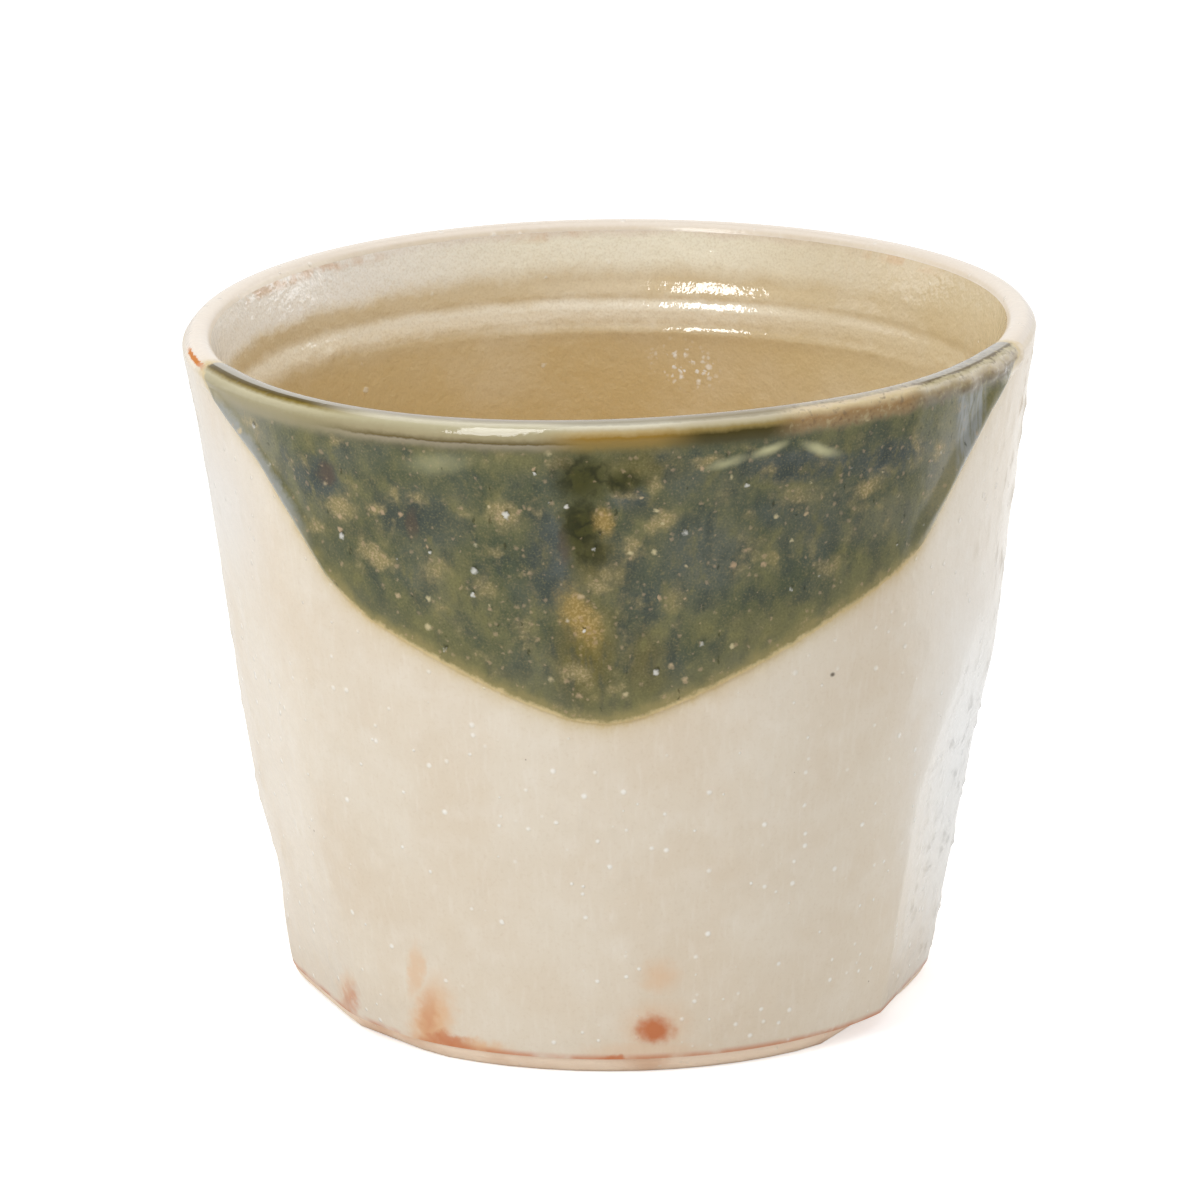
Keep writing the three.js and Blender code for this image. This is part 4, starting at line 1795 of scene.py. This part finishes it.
    def lip(self, colour: Socket, from_lip: Socket) -> Socket:
        """Breaks a colour on the lip: pale on top, amber at the front, olive on the left, tan on the right,
        with a painted reflection and highlight in the bands to the left.

        Args:
            colour: the colour.
            from_lip: the way from the top of the lip.

        Returns:
            The colour with the lip's bands.
        """
        sheet = self.sheet
        broad = sheet.noise(self.place, spacing=2.5, detail=2.0)
        fine = sheet.noise(self.place, spacing=0.6, detail=2.0)
        across = sheet.part(self.place, 0)
        right = sheet.ramp(across, *self.rough_right)
        rough = sheet.ramp(from_lip, 0.3, 1.3)
        uneven = sheet.times_plus(sheet.math("SUBTRACT", broad, 0.5), 0.6, sheet.times(fine, 0.6))
        uneven = sheet.times(sheet.math("SUBTRACT", uneven, 0.3), sheet.math("ADD", right, 0.5))
        way = sheet.times_plus(uneven, rough, from_lip)
        lip = sheet.gradient(way, self.front_lip)
        for stretch in self.stretches:
            bands = sheet.gradient(way, stretch.bands)
            lip = sheet.mix(sheet.ramp(across, stretch.first, stretch.last), lip, bands)
        light = sheet.times(sheet.ramp(fine, 0.52, 0.75), right)
        lip = sheet.tint(light, lip, self.sand, strength=0.4)
        dark = sheet.times(sheet.ramp(fine, 0.48, 0.25), right)
        lip = sheet.tint(dark, lip, self.mauve, strength=0.5)
        wide = sheet.times_plus(right, -0.4, 4.6)
        cover = sheet.ramp(way, wide, sheet.math("SUBTRACT", wide, 1.2))
        return sheet.mix(cover, colour, lip)


# Pieces


@dataclass
class Piece:
    """One piece of the cup: a finer copy of a node of the frame.

    Fields:
        survey: the lines that it follows.
        node: the node that the piece stands for.
        slot: the slot of its finish. It is not used.
        levels: how many times its faces are divided.
        outside: 1 for a piece whose wall shows outside, and -1 for one that shows inside.
        body: the finished object.
    """

    survey: Survey
    node: str
    slot: str
    levels: int = 3
    outside: int = 1
    body: bpy.types.Object = field(init=False)

    def build(self) -> None:
        """Models the piece. Each kind of piece has its own way."""
        raise NotImplementedError

    def dress(self, finish: Finish) -> None:
        """Gives the piece its finish and its place in the frame.

        Args:
            finish: the finish.
        """
        take_up(self.body)
        bpy.ops.object.shade_smooth_by_angle(angle=math.radians(SHARP_ANGLE))
        points = points_of(self.body)
        write_attribute(self.body, "from_lip", self.survey.from_lip(points, self.outside))
        write_attribute(self.body, "above_edge", self.survey.above_edge(points))
        self.body.data.materials.append(finish.material)
        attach(self.body, "root")
        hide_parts(self.node)
        LOG.info("%s: %d faces", self.body.name, len(self.body.data.polygons))


@dataclass
class ClayBody(Piece):
    """The thrown and pared cup, which shows at the foot."""

    node: str = "clay_body"
    slot: str = "bare_clay"
    levels: int = 2

    def build(self) -> None:
        """Rounds the clay's facets off, and keeps the ring that it stands on flat."""
        self.body = copy_of(self.node, "clay")
        crease_level_edges(self.body, 0.0)
        refine(self.body, self.levels)


@dataclass
class Coat(Piece):
    """A coat of glaze: a shell with a free side, which shows, and a side that lies on what is beneath.

    Fields:
        forms: what is cut into the free side or raised on it.
        reliefs: the patterns that are pressed into it.
        ends: for each of its open edges, the heights between which the two sides are joined.
        FACING: how well a face has to face the way of its side, as a cosine.
        BACK_LEVELS: how many times the faces of the other side are divided.
    """

    forms: tuple[Form, ...] = ()
    reliefs: tuple[Relief, ...] = ()
    ends: tuple[tuple[float, float], ...] = ((0.0, 100.0),)
    FACING: ClassVar[float] = 0.3
    BACK_LEVELS: ClassVar[int] = 1

    def facing(self, middles: np.ndarray) -> np.ndarray:
        """Gives the directions in which the free side faces at places on it."""
        raise NotImplementedError

    def weights(self, points: np.ndarray, zone: Zone) -> np.ndarray:
        """Gives the share of a relief in one zone that each point of the free side gets."""
        raise NotImplementedError

    def side(self, name: str, sign: int) -> bpy.types.Object:
        """Copies one side of the coat.

        Args:
            name: the copy's name.
            sign: 1 for the free side and -1 for the other.

        Returns:
            The side, as an open sheet.
        """
        sheet = copy_of(self.node, name)
        middles, normals = faces_of(sheet)
        keep_faces(sheet, sign * np.sum(self.facing(middles) * normals, axis=1) > self.FACING)
        return sheet

    def build(self) -> None:
        """Models the free side finely, with its relief, and closes the shell with the other side."""
        self.body = self.side(self.node.replace("_glaze", "_coat"), 1)
        refine(self.body, self.levels)
        for form in self.forms:
            form.shape(self.body, self.survey)
        for relief in self.reliefs:
            relief.press(self.body, self.weights(points_of(self.body), relief.zone))
        back = self.side("back", -1)
        refine(back, self.BACK_LEVELS)
        take_up(self.body)
        back.select_set(True)
        bpy.ops.object.join()
        for low, high in self.ends:
            close_rim(self.body, low, high)


@dataclass
class OuterCoat(Coat):
    """The cream coat outside, from just above the foot, over the lip, to its inner edge."""

    node: str = "outer_glaze"
    slot: str = "cream_glaze"
    forms: tuple[Form, ...] = (
        Stroke(turn=72, top=43.5, entry=17, depth=1.6, foot_depth=1.4, first=38, last=88),
        Bevel(rise=37, depth=0.3, softness=0.22),
    )
    reliefs: tuple[Relief, ...] = (
        Relief("hand", Basis.WAVES, spacing=11.0, height=0.22, depth=2),
        Relief("grit", Basis.GRAINS, spacing=2.6, height=0.16, rest=0.0, reach=0.32),
        Relief("coarse_grit", Basis.GRAINS, spacing=2.0, height=0.3, rest=0.0, first=58.0, last=180.0),
    )
    ends: tuple[tuple[float, float], ...] = ((0.0, 10.0), (60.0, 100.0))

    def facing(self, middles: np.ndarray) -> np.ndarray:
        """Gives the directions out of the wall, and out of the middle of the lip's rounding above it.

        Args:
            middles: the places.

        Returns:
            The directions, one per row.
        """
        radii, heights = self.survey.lip_middle(middles)
        ways = middles * (1.0, 1.0, 0.0)
        spokes = ways / np.maximum(np.linalg.norm(ways, axis=1, keepdims=True), LEAST)
        over = spokes * (np.linalg.norm(ways, axis=1) - radii)[:, None]
        over[:, 2] = middles[:, 2] - heights
        over /= np.maximum(np.linalg.norm(over, axis=1, keepdims=True), LEAST)
        return np.where((middles[:, 2] > heights)[:, None], over, spokes)

    def weights(self, points: np.ndarray, zone: Zone) -> np.ndarray:
        """Fades the relief out under the green, at the lip and at the foot.

        Args:
            points: the points.
            zone: the zone of the relief. It is not used here.

        Returns:
            The share that each point gets.
        """
        below_green = rising(-self.survey.above_edge(points), start=0.0, way=1.0)
        below_lip = rising(self.survey.from_lip(points, 1), start=1.5, way=4.0)
        above_foot = rising(points[:, 2], start=1.7, way=1.0)
        return below_green * below_lip * above_foot


@dataclass
class GreenCoat(OuterCoat):
    """The green coat, dipped over the front of the rim."""

    node: str = "green_glaze"
    slot: str = "green_glaze"
    forms: tuple[Form, ...] = (
        Bevel(rise=34, depth=0.03, softness=0.06, groove=0.12, bead=0.26),
        Roll(first=-80, last=-36, above=0.9, reach=0.8, height=0.5),
        Roll(first=46, last=84, above=1.7, reach=1.2, height=0.7),
    )
    reliefs: tuple[Relief, ...] = (
        Relief("flow", Basis.WAVES, spacing=5.0, height=0.14, depth=1),
        Relief(
            "beads", Basis.GRAINS, spacing=3.0, height=0.5, rest=0.0, reach=0.55,
            zone=Zone.LIP, first=42.0, last=80.0,
        ),
        Relief(
            "crumbs", Basis.GRAINS, spacing=0.9, height=0.14, rest=0.0, reach=0.5,
            zone=Zone.LIP, first=24.0, last=56.0,
        ),
    )
    ends: tuple[tuple[float, float], ...] = ((0.0, 100.0),)

    def weights(self, points: np.ndarray, zone: Zone) -> np.ndarray:
        """Fades a relief of the wall out at the edge and the lip, and keeps one of the lip on its outer side.

        Args:
            points: the points.
            zone: the zone of the relief.

        Returns:
            The share that each point gets.
        """
        from_lip = self.survey.from_lip(points, 1)
        if zone is Zone.LIP:
            return rising(from_lip, start=0.6, way=1.0) * rising(-from_lip, start=-4.0, way=1.0)
        above_edge = rising(self.survey.above_edge(points), start=0.0, way=2.0)
        return above_edge * rising(from_lip, start=1.5, way=3.0)


@dataclass
class InnerCoat(Coat):
    """The tan coat inside, over the wall and the floor."""

    node: str = "inner_glaze"
    slot: str = "liner_glaze"
    outside: int = -1
    forms: tuple[Form, ...] = (
        Ledge(depth=6.8, rise=0.68, width=1.4, fall=3.0),
        Ledge(depth=8.5, rise=0.5, width=1.0, fall=3.0),
        Ledge(depth=11.05, rise=0.38, width=0.7, fall=4.0),
    )
    reliefs: tuple[Relief, ...] = (
        Relief("hand_inside", Basis.WAVES, spacing=9.0, height=0.16, depth=2),
        Relief("grit_inside", Basis.GRAINS, spacing=3.4, height=0.12, rest=0.0, reach=0.25),
    )

    def facing(self, middles: np.ndarray) -> np.ndarray:
        """Gives the directions towards the axis, and up as well below the lip.

        Args:
            middles: the places.

        Returns:
            The directions, one per row.
        """
        ways = -middles * (1.0, 1.0, 0.0)
        ways /= np.maximum(np.linalg.norm(ways, axis=1, keepdims=True), LEAST)
        ways[:, 2] = rising(self.survey.below_lip(middles), start=2.0, way=1.0)
        return ways / np.linalg.norm(ways, axis=1, keepdims=True)

    def weights(self, points: np.ndarray, zone: Zone) -> np.ndarray:
        """Fades the relief out at the lip."""
        return rising(-self.survey.from_lip(points, -1), start=2.5, way=3.0)


# Studio


@dataclass(frozen=True)
class Lamp:
    """A soft box that faces the cup.

    Fields:
        name: the lamp's name.
        turn: its turn round the cup.
        rise: its angle above the table, in degrees.
        away: its distance.
        wide: its width.
        tall: its height.
        brightness: how bright its face is, where 1 is white.
    """

    name: str
    turn: float
    rise: float
    away: float
    wide: float
    tall: float
    brightness: float

    def hang(self, aim: Vector) -> None:
        """Hangs the lamp.

        Args:
            aim: the place that it faces, in metres.
        """
        turn, rise = math.radians(self.turn), math.radians(self.rise)
        way = Vector((math.sin(turn) * math.cos(rise), -math.cos(turn) * math.cos(rise), math.sin(rise)))
        bpy.ops.object.light_add(type="AREA", location=aim + way * self.away * MM)
        lamp = bpy.context.active_object
        lamp.name = self.name
        lamp.rotation_euler = way.to_track_quat("Z", "Y").to_euler()
        lamp.data.shape = "RECTANGLE"
        lamp.data.size = self.wide * MM
        lamp.data.size_y = self.tall * MM
        lamp.visible_camera = False
        lamp.data.energy = self.brightness * math.pi * self.wide * self.tall * MM * MM


@dataclass(frozen=True)
class Studio:
    """A white table under soft light, with the camera in front and a little above.

    Fields:
        lamps: the soft boxes.
        surround: the brightness of the room.
        front: the brightness of the room's front, where the gloss shows it.
        glow: what makes the table white to the camera.
        sheen: what makes it white in the gloss, to the left and to the right behind the cup.
        bounce: the light that it gives off.
        cloth: the table's colour.
        shade: the colour of its front, where the gloss shows it.
        floor_size: the width of the table.
        eye: the camera's place.
        aim: what it looks at.
        lens: its focal length.
        sensor: the width of its sensor.
        lit: what the lamps face.
    """

    lamps: tuple[Lamp, ...] = (
        Lamp("key", turn=-38, rise=47, away=510, wide=135, tall=240, brightness=9.2),
        Lamp("ceiling", turn=0, rise=90, away=900, wide=1200, tall=1200, brightness=0.85),
        Lamp("left_panel", turn=-100, rise=16, away=900, wide=700, tall=500, brightness=0.52),
        Lamp("right_panel", turn=120, rise=20, away=900, wide=600, tall=800, brightness=1.14),
    )
    surround: float = 0.48
    front: float = 0.2
    glow: float = 0.5
    sheen: tuple[float, float] = (0.12, 0.3)
    bounce: float = 0.12
    cloth: Colour = (0.85, 0.85, 0.85, 1.0)
    shade: Colour = (0.2, 0.2, 0.2, 1.0)
    floor_size: float = 8000.0
    eye: Triple = (0.0, -863.0, 290.3)
    aim: Triple = (-0.92, 1.47, 39.96)
    lens: float = 259.3
    sensor: float = 36.0
    lit: Triple = (0.0, 0.0, 40.0)

    def set_up(self) -> None:
        """Lays the table, lights the room and places the camera."""
        self.lay_table()
        self.light_room()
        for lamp in self.lamps:
            lamp.hang(Vector(self.lit) * MM)
        self.place_camera()
        bpy.context.scene.view_settings.view_transform = "Standard"

    def lay_table(self) -> None:
        """Lays a white table, which looks white to the camera except in the cup's shadow."""
        bpy.ops.mesh.primitive_plane_add(size=self.floor_size * MM)
        table = bpy.context.active_object
        table.name = "table"
        material = bpy.data.materials.new("table")
        material.use_nodes = True
        sheet = Sheet(material.node_tree)
        shader = material.node_tree.nodes["Principled BSDF"]
        shader.inputs["Roughness"].default_value = 0.9
        shader.inputs["Specular IOR Level"].default_value = 0.0
        shader.inputs["Emission Color"].default_value = (1, 1, 1, 1)
        path = sheet.add("LightPath", {})
        place = sheet.add("SeparateXYZ", {0: sheet.add("TexCoord", {}).outputs["Object"]})
        behind = sheet.ramp(place.outputs[1], -0.04, 0.02)
        gloss = sheet.times(path.outputs["Is Glossy Ray"], behind)
        dim = sheet.math("SUBTRACT", path.outputs["Is Glossy Ray"], gloss)
        sheet.put(shader.inputs["Base Color"], sheet.mix(dim, self.cloth, self.shade))
        left, right = self.sheen
        white = sheet.times_plus(sheet.ramp(place.outputs[0], -0.02, 0.06), right - left, left)
        seen = sheet.times_plus(path.outputs["Is Camera Ray"], self.glow, sheet.times(gloss, white))
        sheet.put(shader.inputs["Emission Strength"], sheet.math("MAXIMUM", seen, self.bounce))
        table.data.materials.append(material)

    def light_room(self) -> None:
        """Fills the room with even light. Its back is white to the camera and in the gloss."""
        world = bpy.data.worlds.new("room")
        world.use_nodes = True
        bpy.context.scene.world = world
        sheet = Sheet(world.node_tree)
        path = sheet.add("LightPath", {})
        way = sheet.add("SeparateXYZ", {0: sheet.add("TexCoord", {}).outputs["Generated"]})
        back = sheet.times(sheet.ramp(way.outputs[1], -0.1, 0.15), sheet.ramp(way.outputs[2], 0.75, 0.45))
        room = sheet.times_plus(back, 1 - self.front, self.front)
        gloss = sheet.math("MAXIMUM", path.outputs["Is Glossy Ray"], path.outputs["Is Transmission Ray"])
        light = sheet.add("Mix", {0: gloss, 2: self.surround, 3: room}).outputs[0]
        background = world.node_tree.nodes["Background"]
        background.inputs["Color"].default_value = (1, 1, 1, 1)
        strength = sheet.math("MAXIMUM", light, path.outputs["Is Camera Ray"])
        sheet.put(background.inputs["Strength"], strength)

    def place_camera(self) -> None:
        """Places the camera at the photograph's angle."""
        eye, aim = Vector(self.eye) * MM, Vector(self.aim) * MM
        bpy.ops.object.camera_add(location=eye)
        camera = bpy.context.active_object
        camera.rotation_euler = (aim - eye).to_track_quat("-Z", "Y").to_euler()
        camera.data.sensor_width = self.sensor
        camera.data.lens = self.lens
        bpy.context.scene.camera = camera


def main() -> None:
    """Builds and dresses the cup, piece by piece, and sets up the studio."""
    logging.basicConfig(level=logging.INFO, format="%(message)s")
    survey = Survey.read()
    effects = Effects()
    pieces = (
        (ClayBody(survey=survey), BareClay("bare_clay", effects)),
        (InnerCoat(survey=survey), LinerGlaze("liner_glaze", effects)),
        (OuterCoat(survey=survey), CreamGlaze("cream_glaze", effects)),
        (GreenCoat(survey=survey), GreenGlaze("green_glaze", effects)),
    )
    for piece, finish in pieces:
        piece.build()
        piece.dress(finish)
    Studio().set_up()


if __name__ == "__main__":
    main()
